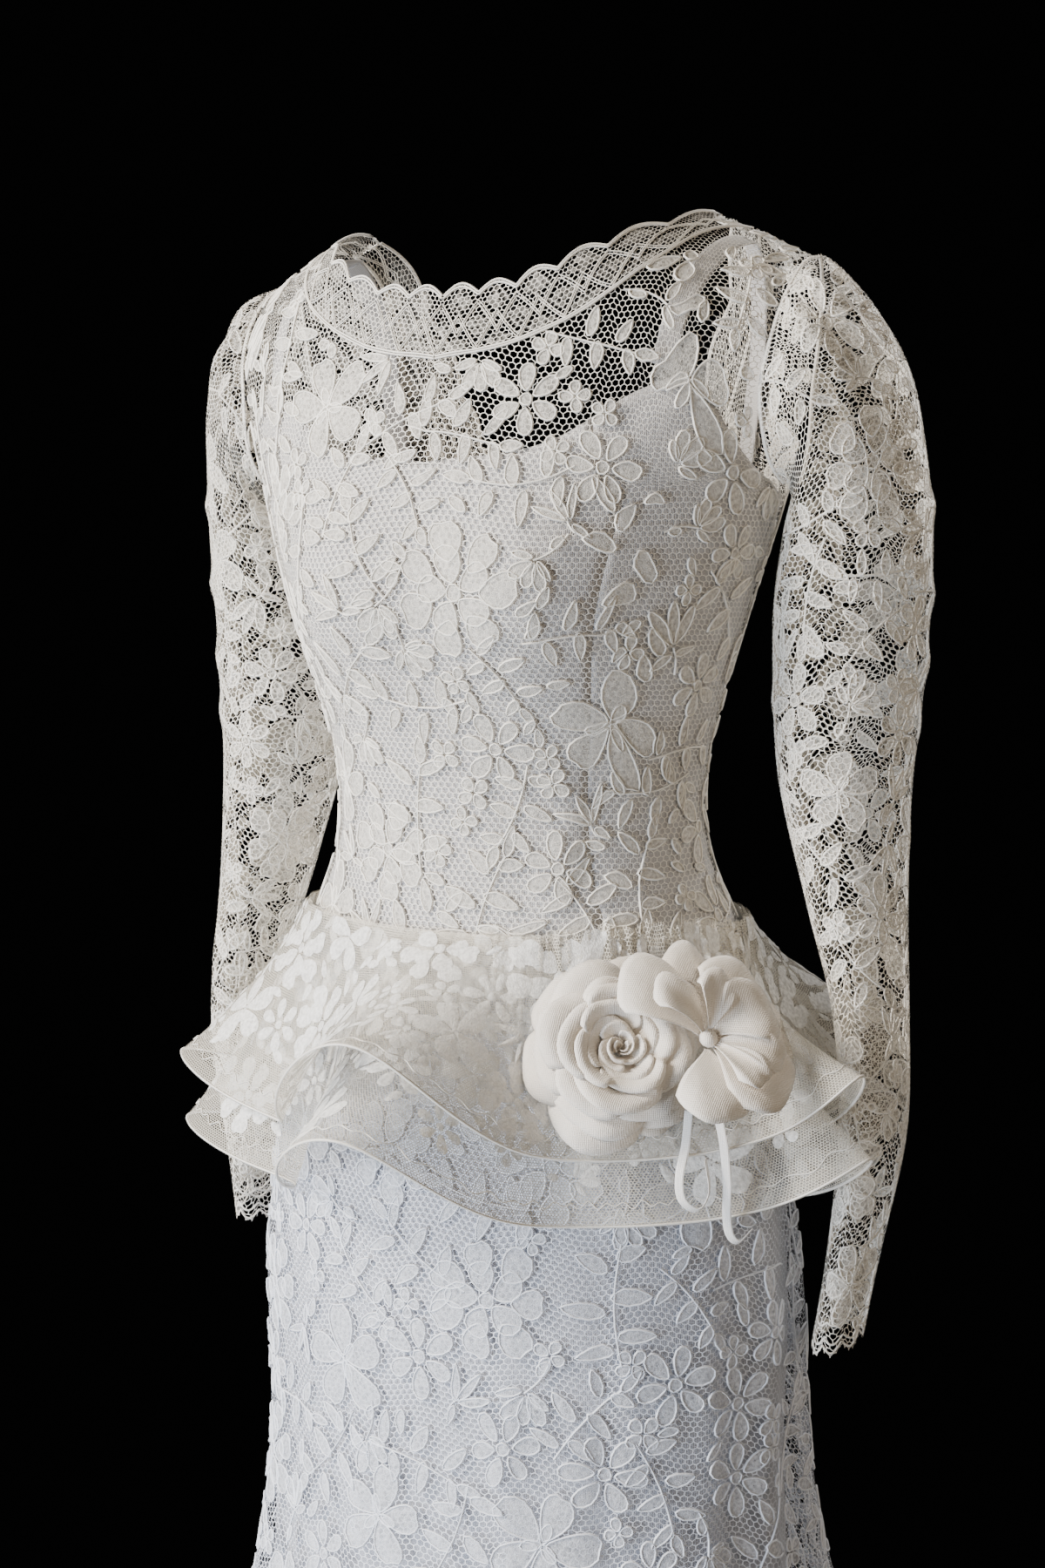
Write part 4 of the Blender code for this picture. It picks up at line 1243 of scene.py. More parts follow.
def scatter(surface, seed, plan, placed=(), thin_below=None, kept=within):
    """Places for motifs on a surface: the given ones, then as many of each kind
    as the plan says, largest first, clear of those before them. Each is a
    motif, u, v, size and turn."""
    rng = np.random.default_rng(seed)
    places = 0.01 + 0.98 * rng.random((CANDIDATES, 2))
    places = places[np.abs(kept(places) - places).max(1) < 1e-9]
    u, v = places[:, 0], places[:, 1]
    stretch = 1 / np.abs(np.linalg.det(unit_steps(surface, u, v)))
    even = rng.random(len(u)) < stretch / stretch.max()
    u, v = u[even], v[even]
    points = surface(u, v)
    turns = rng.random(len(u)) * 2 * np.pi
    laid = [tuple(row) for row in placed]
    room = np.full(len(u), np.inf)
    for motif, at_u, at_v, size, _ in laid:
        away = points - surface(np.array([at_u]), np.array([at_v]))
        room = np.minimum(room, np.linalg.norm(away, axis=1) - size * MOTIF_REACH[int(motif)])
    thin = points[:, 2] < (-np.inf if thin_below is None else thin_below)
    for motif, count, size, closeness in plan:
        reach = size * MOTIF_REACH[motif] * np.where(thin, THIN_ROOM, 1)
        for _ in range(count):
            fits = np.flatnonzero(room > reach * (2 * closeness - 1))
            if not len(fits):
                break
            here = fits[int(rng.random() * min(len(fits), PLACES_TRIED))]
            own = size * rng.uniform(SMALLEST_MOTIF, LARGEST_MOTIF)
            laid.append((motif, u[here], v[here], own, turns[here]))
            away = np.linalg.norm(points - points[here], axis=1)
            room = np.minimum(room, away - reach[here])
    return laid


def true_to_form(surface, lines, reaches):
    """Those lines that keep their size on the surface."""
    counts = np.array([len(line) for line in lines])
    starts = np.cumsum(counts) - counts
    places = np.concatenate(lines)
    points = surface(places[:, 0], places[:, 1])
    middles = np.add.reduceat(points, starts) / counts[:, None]
    away = np.linalg.norm(points - np.repeat(middles, counts, axis=0), axis=1)
    shares = np.maximum.reduceat(away, starts) / reaches
    return [line for line, share in zip(lines, shares)
            if SMALLEST_SHARE < share < LARGEST_SHARE]


def motif_lines(surface, motifs, kept):
    """The motifs' petals and stems as lines in the surface's u and v, cut at
    its edges and left out when much of them is cut or stretched."""
    where = np.array([row[1:3] for row in motifs])
    steps = unit_steps(surface, where[:, 0], where[:, 1])
    closed, opened = ([], []), ([], [])
    for number, (motif, u, v, size, turn) in enumerate(motifs):
        for lines, found in ((MOTIF_PETALS, closed), (MOTIF_STEMS, opened)):
            for line in lines.get(int(motif), ()):
                flat = rotated(wavy(number, line), turn) * size
                places = flat @ steps[number].T + (u, v)
                held = kept(places)
                cut = np.abs(held - places).max(1) > 1e-9
                if cut.mean() < MOST_CUT:
                    found[0].append(held)
                    found[1].append(np.linalg.norm(flat - flat.mean(0), axis=1).max())
    return true_to_form(surface, *closed), true_to_form(surface, *opened)


def joined(lines, closed):
    """Lines in one array, and for each point the ones before and after it."""
    starts = np.cumsum([0] + [len(line) for line in lines])
    places = np.concatenate(lines)
    following = np.arange(len(places)) + 1
    before = np.arange(len(places)) - 1
    for start, end in zip(starts[:-1], starts[1:]):
        following[end - 1] = start if closed else end - 1
        before[start] = end - 1 if closed else start
    return places, before, following


def cord_mesh(surface, lines, closed, radius, height):
    """Three-sided cords along lines in u and v: vertices and faces."""
    places, before, following = joined(lines, closed)
    point = surface(places[:, 0], places[:, 1])
    facing = normals(surface, places[:, 0], places[:, 1])
    ahead = point[following] - point[before]
    side = np.cross(ahead, facing)
    side = side / np.maximum(np.linalg.norm(side, axis=1), 1e-9)[:, None] * radius
    low = point + facing * height
    ring = np.stack([low - side, low + side, low + facing * radius * 1.5], 1)
    first = np.flatnonzero(following != np.arange(len(places))) * 3
    second = following[following != np.arange(len(places))] * 3
    faces = [
        np.stack([first + a, second + a, second + b, first + b], -1)
        for a, b in ((0, 1), (1, 2), (2, 0))
    ]
    return ring.reshape(-1, 3), np.concatenate(faces)


def petal_mesh(surface, outlines, height):
    """A low dome in each closed line: vertices, faces and how far each vertex
    is from the petal's middle."""
    places, _, following = joined(outlines, True)
    own = np.repeat(np.arange(len(outlines)), [len(line) for line in outlines])
    middles = np.array([line.mean(0) for line in outlines])
    places = np.concatenate([places, middles])
    rim = np.concatenate([np.ones(len(own)), np.zeros(len(outlines))])
    layer = np.concatenate([own, np.arange(len(outlines))]) % PETAL_LAYERS
    facing = normals(surface, places[:, 0], places[:, 1])
    out = height + PETAL_DOME * (1 - rim) + layer * LAYER_LIFT
    vertices = surface(places[:, 0], places[:, 1]) + facing * out[:, None]
    fan = np.stack([np.arange(len(own)), following, own + len(own)], -1)
    return vertices, fan.tolist(), rim


def petal_object(name, surface, outlines, cloth):
    """Petals as one mesh, which knows how far each vertex is from a middle."""
    vertices, faces, rim = petal_mesh(surface, outlines, TRIM_LIFT)
    petals = mesh_object(f"{name}_petals", vertices, faces, cloth)
    density = petals.data.attributes.new("density", "FLOAT", "POINT")
    density.data.foreach_set("value", rim)
    return petals


def cord_object(name, surface, runs, cloth):
    """Cords as one mesh. Each run is lines in u and v, whether they are closed,
    the cord's radius and how far it stands off the cloth."""
    all_points, all_faces, count = [], [], 0
    for lines, closed, radius, height in runs:
        if lines:
            points, quads = cord_mesh(surface, lines, closed, radius, height)
            all_points.append(points)
            all_faces.append(quads + count)
            count += len(points)
    return mesh_object(f"{name}_cords", np.concatenate(all_points),
                       np.concatenate(all_faces).tolist(), cloth)


def lace_trims(name, surface, motifs, petal_cloth, cord_cloth, radius=CORD_RADIUS, extra=(),
               kept=within, plain=None):
    """The petals and cords laid on a net. extra are more runs of
    cords, and plain is the surface without its gathers."""
    closed, opened = motif_lines(plain or surface, motifs, kept)
    petals = petal_object(name, surface, closed, petal_cloth)
    if radius is None:
        return [petals]
    runs = [(closed, True, radius, TRIM_LIFT), (opened, False, radius, TRIM_LIFT)]
    return [petals, cord_object(name, surface, runs + list(extra), cord_cloth)]


# Materials


def add(tree, kind, inputs, **settings):
    """A shader node with its inputs linked or set. Gives its first output."""
    made = tree.nodes.new(kind)
    for name, value in settings.items():
        setattr(made, name, value)
    for socket, value in inputs.items():
        if isinstance(value, bpy.types.NodeSocket):
            tree.links.new(value, made.inputs[socket])
        else:
            made.inputs[socket].default_value = value
    return made.outputs[0]


def scalar(tree, operation, first, second=0.0):
    return add(tree, "ShaderNodeMath", {0: first, 1: second}, operation=operation)


def vector(tree, operation, first, second=(0, 0, 0)):
    node = tree.nodes.new("ShaderNodeVectorMath")
    node.operation = operation
    for socket, value in enumerate((first, second)):
        if isinstance(value, bpy.types.NodeSocket):
            tree.links.new(value, node.inputs[socket])
        else:
            node.inputs[socket].default_value = value
    return node.outputs["Value" if operation in ("LENGTH", "DOT_PRODUCT") else "Vector"]


def cloth_material(name, colour, roughness, sheen):
    made = bpy.data.materials.new(name)
    made.use_nodes = True
    shader = made.node_tree.nodes["Principled BSDF"]
    shader.inputs["Base Color"].default_value = (*colour, 1)
    shader.inputs["Roughness"].default_value = roughness
    shader.inputs["Sheen Weight"].default_value = sheen
    shader.inputs["Sheen Roughness"].default_value = 0.5
    return made, made.node_tree, shader


def mottled(tree, shader, colour, place, scale, amount):
    """Lets the colour drift a little over the cloth."""
    noise = add(tree, "ShaderNodeTexNoise", {"Vector": place, "Scale": scale, "Detail": 3.0})
    darker = tuple(value * (1 - amount) for value in colour)
    mix = tree.nodes.new("ShaderNodeMix")
    mix.data_type = "RGBA"
    tree.links.new(noise, mix.inputs["Factor"])
    mix.inputs["A"].default_value = (*darker, 1)
    mix.inputs["B"].default_value = (*colour, 1)
    tree.links.new(mix.outputs["Result"], shader.inputs["Base Color"])


def bumped(tree, shader, height, distance, strength=0.5):
    bump = add(tree, "ShaderNodeBump",
               {"Height": height, "Distance": distance, "Strength": strength})
    tree.links.new(bump, shader.inputs["Normal"])


def uv_place(tree):
    return tree.nodes.new("ShaderNodeUVMap").outputs[0]


def object_place(tree):
    return tree.nodes.new("ShaderNodeTexCoord").outputs["Object"]


def hexagons(tree, place, pitch):
    """How near a place is to the threads of a six-sided net: 0 in the middle of
    a hole and 0.5 on a thread."""
    root = np.sqrt(3)
    scaled = vector(tree, "MULTIPLY", place, (1 / pitch, 1.25 / pitch / root, 0))
    shifted = vector(tree, "ADD", scaled, (0.5, 0.5, 0))
    offsets = []
    for start in (scaled, shifted):
        part = vector(tree, "FRACTION", start)
        part = vector(tree, "SUBTRACT", part, (0.5, 0.5, 0))
        offsets.append(vector(tree, "MULTIPLY", part, (1, root, 0)))
    lengths = [vector(tree, "LENGTH", offset) for offset in offsets]
    nearer = scalar(tree, "LESS_THAN", lengths[1], lengths[0])
    mix = tree.nodes.new("ShaderNodeMix")
    mix.data_type = "VECTOR"
    tree.links.new(nearer, mix.inputs["Factor"])
    tree.links.new(offsets[0], mix.inputs[4])
    tree.links.new(offsets[1], mix.inputs[5])
    away = vector(tree, "ABSOLUTE", mix.outputs[1])
    slanted = vector(tree, "DOT_PRODUCT", away, (0.5, root / 2, 0))
    across = add(tree, "ShaderNodeSeparateXYZ", {0: away})
    return scalar(tree, "MAXIMUM", across, slanted)


def net_material(name, colour, pitch, thread, uneven, gauze):
    """A net of six-sided holes. gauze is how much finer cloth fills them."""
    made, tree, shader = cloth_material(name, colour, 0.75, 0.3)
    place = uv_place(tree)
    noise = tree.nodes.new("ShaderNodeTexNoise")
    noise.inputs["Scale"].default_value = 0.55 / pitch
    noise.inputs["Detail"].default_value = 2.0
    tree.links.new(place, noise.inputs["Vector"])
    shift = vector(tree, "SUBTRACT", noise.outputs["Color"], (0.5, 0.5, 0.5))
    shift = vector(tree, "MULTIPLY", shift, (uneven, uneven, 0))
    near = hexagons(tree, vector(tree, "ADD", place, shift), pitch)
    mask = scalar(tree, "GREATER_THAN", near, 0.5 - thread / pitch / 2)
    solid = scalar(tree, "MAXIMUM", mask, gauze)
    tree.links.new(solid, shader.inputs["Alpha"])
    mottled(tree, shader, colour, place, 60.0, 0.06)
    return made


def petal_material(name, colour, thin, thick):
    """Woven petals of lace: open in the middle and close at the rim."""
    made, tree, shader = cloth_material(name, colour, 0.7, 0.3)
    add(tree, "ShaderNodeAttribute", {}, attribute_name="density")
    rim = tree.nodes[-1].outputs["Fac"]
    place = object_place(tree)
    noise = add(tree, "ShaderNodeTexNoise", {"Vector": place, "Scale": 420.0, "Detail": 3.0})
    patchy = scalar(tree, "MULTIPLY", scalar(tree, "SUBTRACT", noise, 0.5), 1.3)
    solid = scalar(tree, "MULTIPLY", scalar(tree, "POWER", rim, 1.6), thick - thin)
    solid = scalar(tree, "ADD", scalar(tree, "ADD", solid, thin), patchy)
    tree.nodes[-1].use_clamp = True
    tree.links.new(solid, shader.inputs["Alpha"])
    mottled(tree, shader, colour, place, 90.0, 0.08)
    weave = add(tree, "ShaderNodeTexVoronoi", {"Vector": place, "Scale": 1100.0})
    bumped(tree, shader, weave, 0.0004, 0.6)
    return made


def cord_material(name, colour):
    """Twisted thread."""
    made, tree, shader = cloth_material(name, colour, 0.42, 0.25)
    place = object_place(tree)
    mottled(tree, shader, colour, place, 300.0, 0.10)
    twist = add(tree, "ShaderNodeTexNoise", {"Vector": place, "Scale": 1500.0, "Detail": 1.0})
    bumped(tree, shader, twist, 0.0003, 0.5)
    return made


def woven_material(name, colour, roughness, sheen, pitch, depth, alpha, crumple):
    """A plain or satin weave, from two crossed fine waves, a little crumpled."""
    made, tree, shader = cloth_material(name, colour, roughness, sheen)
    place = object_place(tree)
    mottled(tree, shader, colour, place, 35.0, 0.05)
    waves = []
    for direction in ("X", "Z"):
        waves.append(add(tree, "ShaderNodeTexWave",
                         {"Vector": place, "Scale": 1 / pitch / 6, "Distortion": 1.5},
                         bands_direction=direction))
    height = scalar(tree, "ADD", waves[0], waves[1])
    slub = add(tree, "ShaderNodeTexNoise", {"Vector": place, "Scale": 260.0, "Detail": 3.0})
    height = scalar(tree, "ADD", height, slub)
    if crumple:
        soft = add(tree, "ShaderNodeTexNoise", {"Vector": place, "Scale": 75.0, "Detail": 4.0})
        height = scalar(tree, "ADD", height, scalar(tree, "MULTIPLY", soft, crumple))
    bumped(tree, shader, height, depth, 0.5)
    if alpha < 1:
        shader.inputs["Alpha"].default_value = alpha
    return made


# The pieces


def laid_out(text):
    """The motifs of a table, as rows of motif, u, v, size and turn."""
    return [
        (row["motif"], row["u"], row["v"], row["size"], np.radians(row["turn"]))
        for row in table_rows(text)
    ]


def build_bodice(cloth):
    edges = (("side_right", -1, -PRINCESS), ("centre", -PRINCESS, PRINCESS),
             ("side_left", PRINCESS, 1))
    for word, start, end in edges:
        start = start + (PRINCESS_GAP if start > -1 else 0)
        end = end - (PRINCESS_GAP if end < 1 else 0)
        panel = bodice_panel(-1, LINING_FRONT_TOP, False, start, end)
        panel = lifted(panel, body_creases(FRONT_CREASES))
        made = shell(f"front_satin_{word}", panel, FRONT_SATIN_GRID, cloth["satin"], SATIN_WALL)
        cloth_sheet(made, FRONT_SATIN_GRID, [f"lining_front_{word}"])
    panel = lifted(bodice_panel(1, LINING_BACK_TOP, False, 1, -1), body_creases(BACK_CREASES))
    back_satin = shell("back_satin", panel, BACK_SATIN_GRID, cloth["satin"], SATIN_WALL)
    cloth_sheet(back_satin, BACK_SATIN_GRID, ["lining_back"])
    for word, sign in (("left", 1), ("right", -1)):
        turned = strap(sign) if sign > 0 else turned_over(strap(sign))
        made = shell(f"satin_strap_{word}", turned, STRAP_GRID, cloth["satin"], SATIN_WALL)
        cloth_sheet(made, STRAP_GRID, [f"strap_{word}"])

    panel = bodice_panel(-1, LACE_FRONT_TOP, True, -1, 1)
    panel = lifted(lifted(panel, body_creases(FRONT_CREASES)), LACE_OUT)
    made = shell("front_net", panel, FRONT_NET_GRID, cloth["net"])
    face, kept = bodice_face(-1, LACE_FRONT_TOP, -1, 1)
    face = lifted(lifted(face, body_creases(FRONT_CREASES)), LACE_OUT)
    motifs = scatter(face, 11, BODICE_PLAN, laid_out(FRONT_MOTIFS), kept=kept)
    trims = lace_trims("front", face, motifs, cloth["petal"], cloth["cord"], kept=kept)
    cloth_sheet(made, FRONT_NET_GRID, ["lace_front"],
                trims)
    for word, ends, seed in (("left", (1, BACK_GAP), 21), ("right", (-BACK_GAP, -1), 22)):
        panel = bodice_panel(1, LACE_BACK_TOP, True, *ends)
        panel = lifted(lifted(panel, body_creases(BACK_CREASES)), LACE_OUT)
        made = shell(f"back_net_{word}", panel, BACK_NET_GRID, cloth["net"])
        face, kept = bodice_face(1, LACE_BACK_TOP, *ends)
        face = lifted(lifted(face, body_creases(BACK_CREASES)), LACE_OUT)
        motifs = scatter(face, seed, BACK_PLAN, kept=kept)
        beside = CLOSURE_IN if word == "right" else 1 - CLOSURE_IN
        closure = [np.stack([np.full(40, beside), np.linspace(0.01, 0.99, 40)], -1)]
        trims = lace_trims(f"back_{word}", face, motifs, cloth["petal"], cloth["cord"],
                           extra=[(closure, False, CLOSURE_RADIUS, TRIM_LIFT)], kept=kept)
        cloth_sheet(made, BACK_NET_GRID, [f"lace_back_{word}"],
                    trims)


def level_line(height, end_in, points):
    """A line across a surface at a height, from near one side to near the other."""
    run = np.linspace(end_in, 1 - end_in, points)
    return np.stack([run, np.full_like(run, height)], -1)


def inside_band(places):
    """Places held just inside the edging's band."""
    return np.clip(places, BAND_EDGE_IN, 1 - BAND_EDGE_IN)


def scallop_pattern(scallops):
    """The edging's cords and diamonds in u and v, a repeat for each scallop."""
    outlines, lines = [], []
    for number in range(scallops):
        for middle, height, half_wide, half_tall in EDGING_DIAMONDS:
            corners = np.array([(0, 1), (1, 0), (0, -1), (-1, 0)], float)
            corners = np.repeat(corners, 2, axis=0)
            rounded = np.roll(corners, 1, axis=0) * DIAMOND_ROUNDING
            corners = corners * (1 - DIAMOND_ROUNDING) + rounded
            u = (number + middle + corners[:, 0] * half_wide) / scallops
            v = height + corners[:, 1] * half_tall
            outlines.append(inside_band(np.stack([u, v], -1)))
        for start, low, end, high in EDGING_BARS:
            along = np.linspace(0, 1, 8)
            u = (number + start + (end - start) * along) / scallops
            lines.append(inside_band(np.stack([u, low + (high - low) * along], -1)))
    borders = [level_line(height, BAND_EDGE_IN, scallops * 20) for height in EDGING_BORDERS]
    return outlines, lines, borders


def build_edging(cloth):
    for word, side, lace_text, text, scallops in (
        ("front", -1, LACE_FRONT_TOP, EDGING_FRONT, SCALLOPS_FRONT),
        ("back", 1, LACE_BACK_TOP, EDGING_BACK, SCALLOPS_BACK),
    ):
        for hand, sign in (("left", 1), ("right", -1)):
            band = edging(side, lace_text, text, scallops, sign)
            if sign * side > 0:
                band = turned_over(band)
            band = lifted(band, LACE_OUT)
            grid = (scallops * SCALLOP_GRID[0], SCALLOP_GRID[1])
            made = shell(f"edging_net_{word}_{hand}", band, grid, cloth["fine_net"])
            outlines, bars, borders = scallop_pattern(scallops)
            name = f"edging_{word}_{hand}"
            diamonds = petal_object(name, band, outlines, cloth["thin_petal"])
            runs = [(bars, False, EDGING_BAR_RADIUS, TRIM_LIFT),
                    (borders, False, EDGING_BORDER_RADIUS, TRIM_LIFT)]
            cords = cord_object(name, band, runs, cloth["cord"])
            cloth_sheet(made, grid, [name],
                        [diamonds, cords])


def build_sleeves(cloth):
    for word, sign, seed in (("left", 1, 31), ("right", -1, 32)):
        tube = lifted(around_tube(sign), sleeve_creases)
        made = shell(f"sleeve_net_{word}", tube, SLEEVE_GRID, cloth["net"])
        motifs = scatter(tube, seed, SLEEVE_PLAN, kept=round_tube)
        edges = [level_line(height, EDGE_IN, 160) for height in CUFF_CORDS]
        head = [level_line(HEAD_CORD, EDGE_IN, 160)]
        trims = lace_trims(f"sleeve_{word}", tube, motifs, cloth["petal"], cloth["cord"],
                           extra=[(edges, False, CUFF_RADIUS, TRIM_LIFT),
                                  (head, False, HEAD_RADIUS, TRIM_LIFT)],
                           kept=round_tube)
        cloth_sheet(made, SLEEVE_GRID, [f"sleeve_upper_{word}", f"sleeve_under_{word}"],
                    trims)


def build_skirt(cloth):
    for word, middle, seed in (("front", 0, 41), ("back", 180, 42)):
        plain = skirt_panel(LINING_ROWS, False, middle, LINING_HEM_Z)
        # The lining uses the satin copy tinted blue: painted cool light
        lining = shell(f"skirt_satin_{word}", plain, LINING_GRID, cloth["cool_satin"], SATIN_WALL)
        cloth_sheet(lining, LINING_GRID, [f"skirt_lining_{word}"])
        panel = skirt_panel(BODY_ROWS, True, middle, HEM_Z)
        panel = lifted(lifted(panel, skirt_creases), LACE_OUT)
        # The skirt's net, petals and cords use copies tinted blue: painted cool light
        made = shell(f"skirt_net_{word}", panel, SKIRT_GRID, cloth["cool_net"])
        placed = laid_out(SKIRT_MOTIFS) if word == "front" else ()
        motifs = scatter(panel, seed, SKIRT_PLAN, placed, SKIRT_THIN_Z)
        trims = lace_trims(f"skirt_{word}", panel, motifs, cloth["cool_petal"],
                           cloth["cool_cord"])
        cloth_sheet(made, SKIRT_GRID, [f"skirt_lace_{word}"], trims)


def fullness(point):
    """How gathered the peplum's heading is round the waist, and where round it."""
    degrees = np.degrees(np.arctan2(point[:, 0], -point[:, 1]))
    return np.exp(-(((degrees - RUCHE_MIDDLE) / RUCHE_SPREAD) ** 2)), np.radians(degrees)


def ruched(point, u, v):
    """Gathers of the peplum's heading, fullest on the wearer's left."""
    full, turn = fullness(point)
    waves = np.sin(turn * 137) + 0.8 * np.sin(turn * 191 + 0.7) + 0.9 * np.sin(turn * 59)
    waves = waves * (1 + 0.5 * np.sin(turn * 23 + 6 * v))
    reach = np.clip((v - 0.55) / 0.4, 0, 1) ** 1.5 + 0.25 * np.clip(v * 3, 0, 1)
    return waves * (0.00012 + 0.00075 * full) * reach


def headed(panel):
    """A tier whose heading stands up over the seam where it is fullest."""

    def surface(u, v):
        point = panel(u, v)
        full, turn = fullness(point)
        uneven = 1 + 0.25 * np.sin(turn * 31) + 0.2 * np.sin(turn * 73 + 1)
        point[:, 2] += HEADING_RISE * full ** 2 * uneven * np.clip((v - 0.90) / 0.10, 0, 1)
        return point

    return surface


def lower_part(surface, share):
    """The lowest part of a surface, as a surface of its own."""
    return lambda u, v: surface(u, v * share)


def build_peplum(cloth):
    tiers = (
        ("lower", LOWER_TIER_LENGTH, LOWER_TIER_OUT),
        ("upper", UPPER_TIER_LENGTH, UPPER_TIER_OUT),
    )
    for word, middle in (("front", 0), ("back", 180)):
        for tier, length, out in tiers:
            plain = peplum_panel(length, f"{tier}_lift", out, middle - TIER_HALF_ANGLE,
                                 middle + TIER_HALF_ANGLE)
            panel = lifted(headed(plain) if tier == "upper" else plain, ruched)
            made = shell(f"peplum_net_{tier}_{word}", panel, PEPLUM_GRID, cloth["tulle"], 0.0, True)
            name = f"peplum_{tier}_{word}"
            motifs = scatter(plain, 51 + len(name), PEPLUM_PLAN)
            motifs = [row for row in motifs if row[2] > PEPLUM_BARE_BELOW]
            trims = lace_trims(name, panel, motifs, cloth["soft_petal"], None, radius=None,
                               plain=plain)
            share = HEM_BAND / length
            band = lifted(lower_part(panel, share), BAND_LIFT)
            trims.append(shell(f"{name}_band", band, BAND_GRID, cloth["organza"]))
            hem = level_line(HEM_LINE, BAND_EDGE_IN, 560)
            run = hem[:, 0]
            bends = np.sin(run * 340) + 0.6 * np.sin(run * 211 + 1)
            seam = np.stack([run, share * (HEM_SEAM_UP + HEM_SEAM_WAVE * bends)], -1)
            runs = [([hem], False, HEM_ROLL_RADIUS, -TRIM_LIFT),
                    ([seam], False, HEM_SEAM_RADIUS, TRIM_LIFT)]
            trims.append(cord_object(name, panel, runs, cloth["cord"]))
            cloth_sheet(made, PEPLUM_GRID, [name], trims)


def flower_petal(flower, ring, number):
    """One petal of a ring of a flower. Its sides lie over the next petal."""
    middle, outward, sideways, up = flower_frame(flower)
    centre = ring["start"] + ring["turns"] * (number + 0.5) / ring["petals"]
    half = np.pi * ring["turns"] / ring["petals"] * ring["lap"]
    phase = number * 2.4 + ring["start"] * 9
    long = 1 + 0.07 * np.sin(phase)

    def surface(u, v):
        aside = 2 * u - 1
        spread = half * aside * (0.50 + 0.50 * np.sin(np.pi * np.clip(v, 0, 1) ** 0.8 / 1.4))
        angle = 2 * np.pi * centre + spread
        reach = (ring["rim"] * long - ring["base"]) * v * (1 - 0.24 * np.abs(aside) ** 2.4)
        reach = reach * (1 + 0.03 * np.sin(5 * aside + phase) * v)
        radius = (ring["base"] + reach) * (1 + ring["spiral"] * aside)
        height = ring["lift"] + ring["rise"] * np.sin(v * 1.5) - ring["curl"] * v ** 3
        height = height + 0.05 * aside * v - 0.14 * np.clip(v - 0.84, 0, 1) * (1.2 + aside)
        height = height + 0.022 * np.sin(4 * aside + phase) * v ** 2 - 0.05 * aside ** 2 * v
        height = height + 0.010 * np.sin(9 * aside + 2 * phase) * v ** 3
        height = height - ring["fold"] * np.cos(np.pi * aside) * v * (1.2 - v)
        x = radius * flower["size"] * np.cos(angle)
        y = radius * flower["size"] * np.sin(angle)
        off = height * flower["size"] - x ** 2 / (2 * FLOWER_BEND_RADIUS)
        return middle + np.outer(x, sideways) + np.outer(y, up) + np.outer(off, outward)

    return surface


def petal_layer(name, flower, rings, cloth):
    """The joined petals of a layer: vertices and faces of one mesh."""
    across, down = PETAL_GRID
    u, v = np.meshgrid(np.linspace(0, 1, across + 1), np.linspace(0, 1, down + 1))
    faces = np.array(grid_faces(across, down))
    points = []
    for ring in rings:
        for number in range(int(ring["petals"])):
            points.append(flower_petal(flower, ring, number)(u.ravel(), v.ravel()))
    quads = [faces + len(points[0]) * number for number in range(len(points))]
    made = mesh_object(name, np.concatenate(points), np.concatenate(quads).tolist(), cloth)
    solid = made.modifiers.new("wall", "SOLIDIFY")
    solid.thickness = PETAL_THICK
    solid.offset = 0
    return made


def build_flowers(cloth):
    flowers = table_rows(FLOWERS)
    rows = table_rows(FLOWER_PETALS)
    for layer, (number, node) in enumerate(FLOWER_NODES):
        flower = flowers[number]
        rings = [row for row in rows if row["layer"] == layer]
        made = petal_layer(f"{node}_petals", flower, rings, cloth["rose"])
        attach(made, "root")
        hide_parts(node)
    middle, outward, sideways, up = flower_frame(flower)
    build_button(cloth, middle + outward * BUTTON_STAND, outward, sideways, up)
    for number, word in enumerate(("loop", "tail")):
        made = shell(f"satin_ribbon_{word}", ribbon(number), RIBBON_GRID, cloth["ribbon"], RIBBON_THICK)
        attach(made, "root")
        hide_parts(f"ribbon_{word}")


def build_button(cloth, middle, outward, sideways, up):
    """A covered button: a low dome with its cloth gathered underneath."""
    across, down = BUTTON_GRID
    u, v = np.meshgrid(np.linspace(0, 1, across + 1), np.linspace(0.02, 0.98, down + 1))
    turn, tip = 2 * np.pi * u.ravel(), np.pi * v.ravel()
    pleats = 1 + 0.05 * np.cos(turn * 10) * np.clip(np.cos(tip), 0, 1)
    radius = BUTTON_RADIUS * np.sin(tip) * pleats
    off = -BUTTON_RADIUS * 0.85 * np.cos(tip)
    points = middle + np.outer(radius * np.cos(turn), sideways)
    points = points + np.outer(radius * np.sin(turn), up) + np.outer(off, outward)
    made = mesh_object("covered_button", points, grid_faces(across, down), cloth["rose"])
    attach(made, "root")
    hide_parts("button")


# The stage


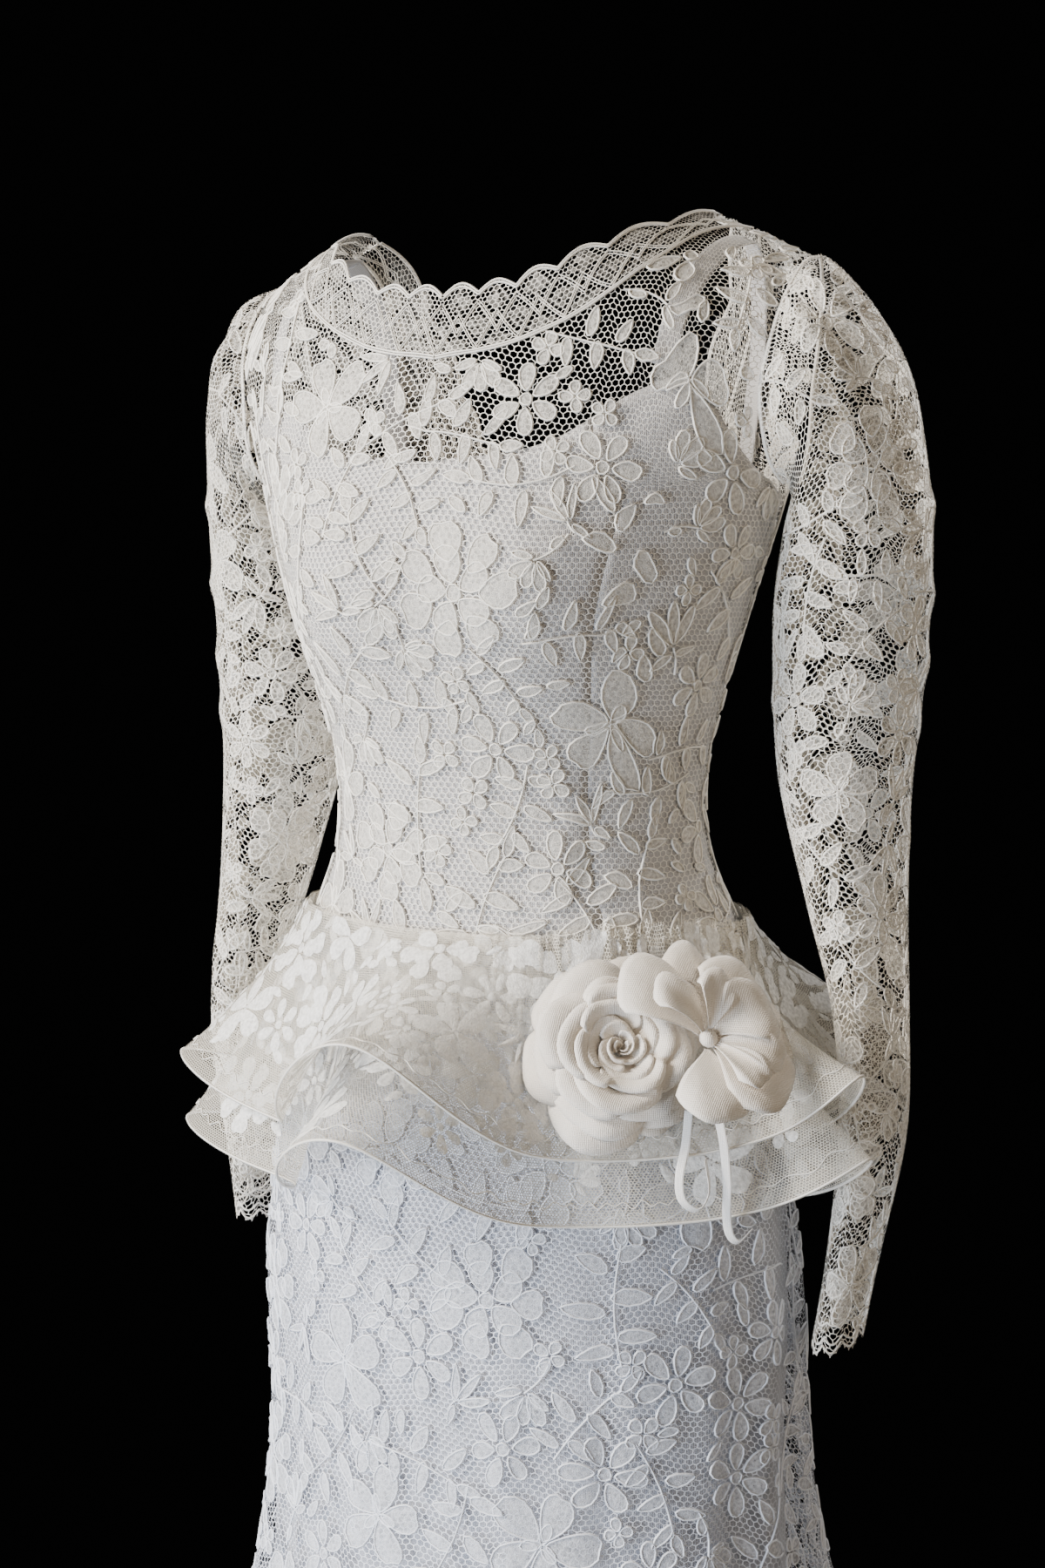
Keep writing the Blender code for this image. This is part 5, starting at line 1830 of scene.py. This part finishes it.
def aimed(made, place, target):
    made.location = place
    made.rotation_mode = "QUATERNION"
    made.rotation_quaternion = (Vector(target) - Vector(place)).to_track_quat("-Z", "Y")


def build_lights():
    for place, row in enumerate(table_rows(LIGHTS)):
        light = bpy.data.lights.new(f"softbox_{place}", "AREA")
        light.energy = row["watts"]
        light.size = row["size"]
        light.color = (row["red"], row["green"], row["blue"])
        made = bpy.data.objects.new(f"softbox_{place}", light)
        bpy.context.scene.collection.objects.link(made)
        aimed(made, (row["x"], row["y"], row["z"]), (0, 0, row["aim_z"]))
    world = bpy.data.worlds.new("studio")
    world.use_nodes = True
    world.node_tree.nodes["Background"].inputs["Color"].default_value = (*WORLD_COLOUR, 1)
    world.node_tree.nodes["Background"].inputs["Strength"].default_value = 1.0
    bpy.context.scene.world = world


def build_floor():
    """A pale round floor just under the hem."""
    turn = np.linspace(0, 2 * np.pi, 96, endpoint=False)
    ring = np.stack([np.cos(turn), np.sin(turn), np.zeros_like(turn)], -1) * FLOOR_RADIUS
    made, tree, shader = cloth_material("pale_floor", FLOOR_COLOUR, 0.8, 0.0)
    mottled(tree, shader, FLOOR_COLOUR, object_place(tree), 3.0, 0.04)
    floor = mesh_object("floor", ring, [list(range(96))], made)
    floor.location.z = CAD_BOX[0].z - 0.003


def build_camera():
    camera = bpy.data.cameras.new("camera")
    camera.lens = 50.0
    camera.sensor_width = 36.0
    made = bpy.data.objects.new("camera", camera)
    bpy.context.scene.collection.objects.link(made)
    made.location = CAMERA_PLACE
    made.rotation_euler = (np.radians(90 - CAMERA_DOWN), 0, np.radians(CAMERA_ROUND))
    bpy.context.scene.camera = made


def main():
    cloth = {}
    for make, rows in (
        (net_material, NETS),
        (petal_material, PETAL_CLOTHS),
        (cord_material, CORD_CLOTHS),
        (woven_material, WEAVES),
    ):
        for key, name, *values in rows:
            cloth[key] = make(name, *values)
    build_camera()
    build_lights()
    build_floor()
    build_bodice(cloth)
    build_edging(cloth)
    build_sleeves(cloth)
    build_skirt(cloth)
    build_peplum(cloth)
    build_flowers(cloth)


main()
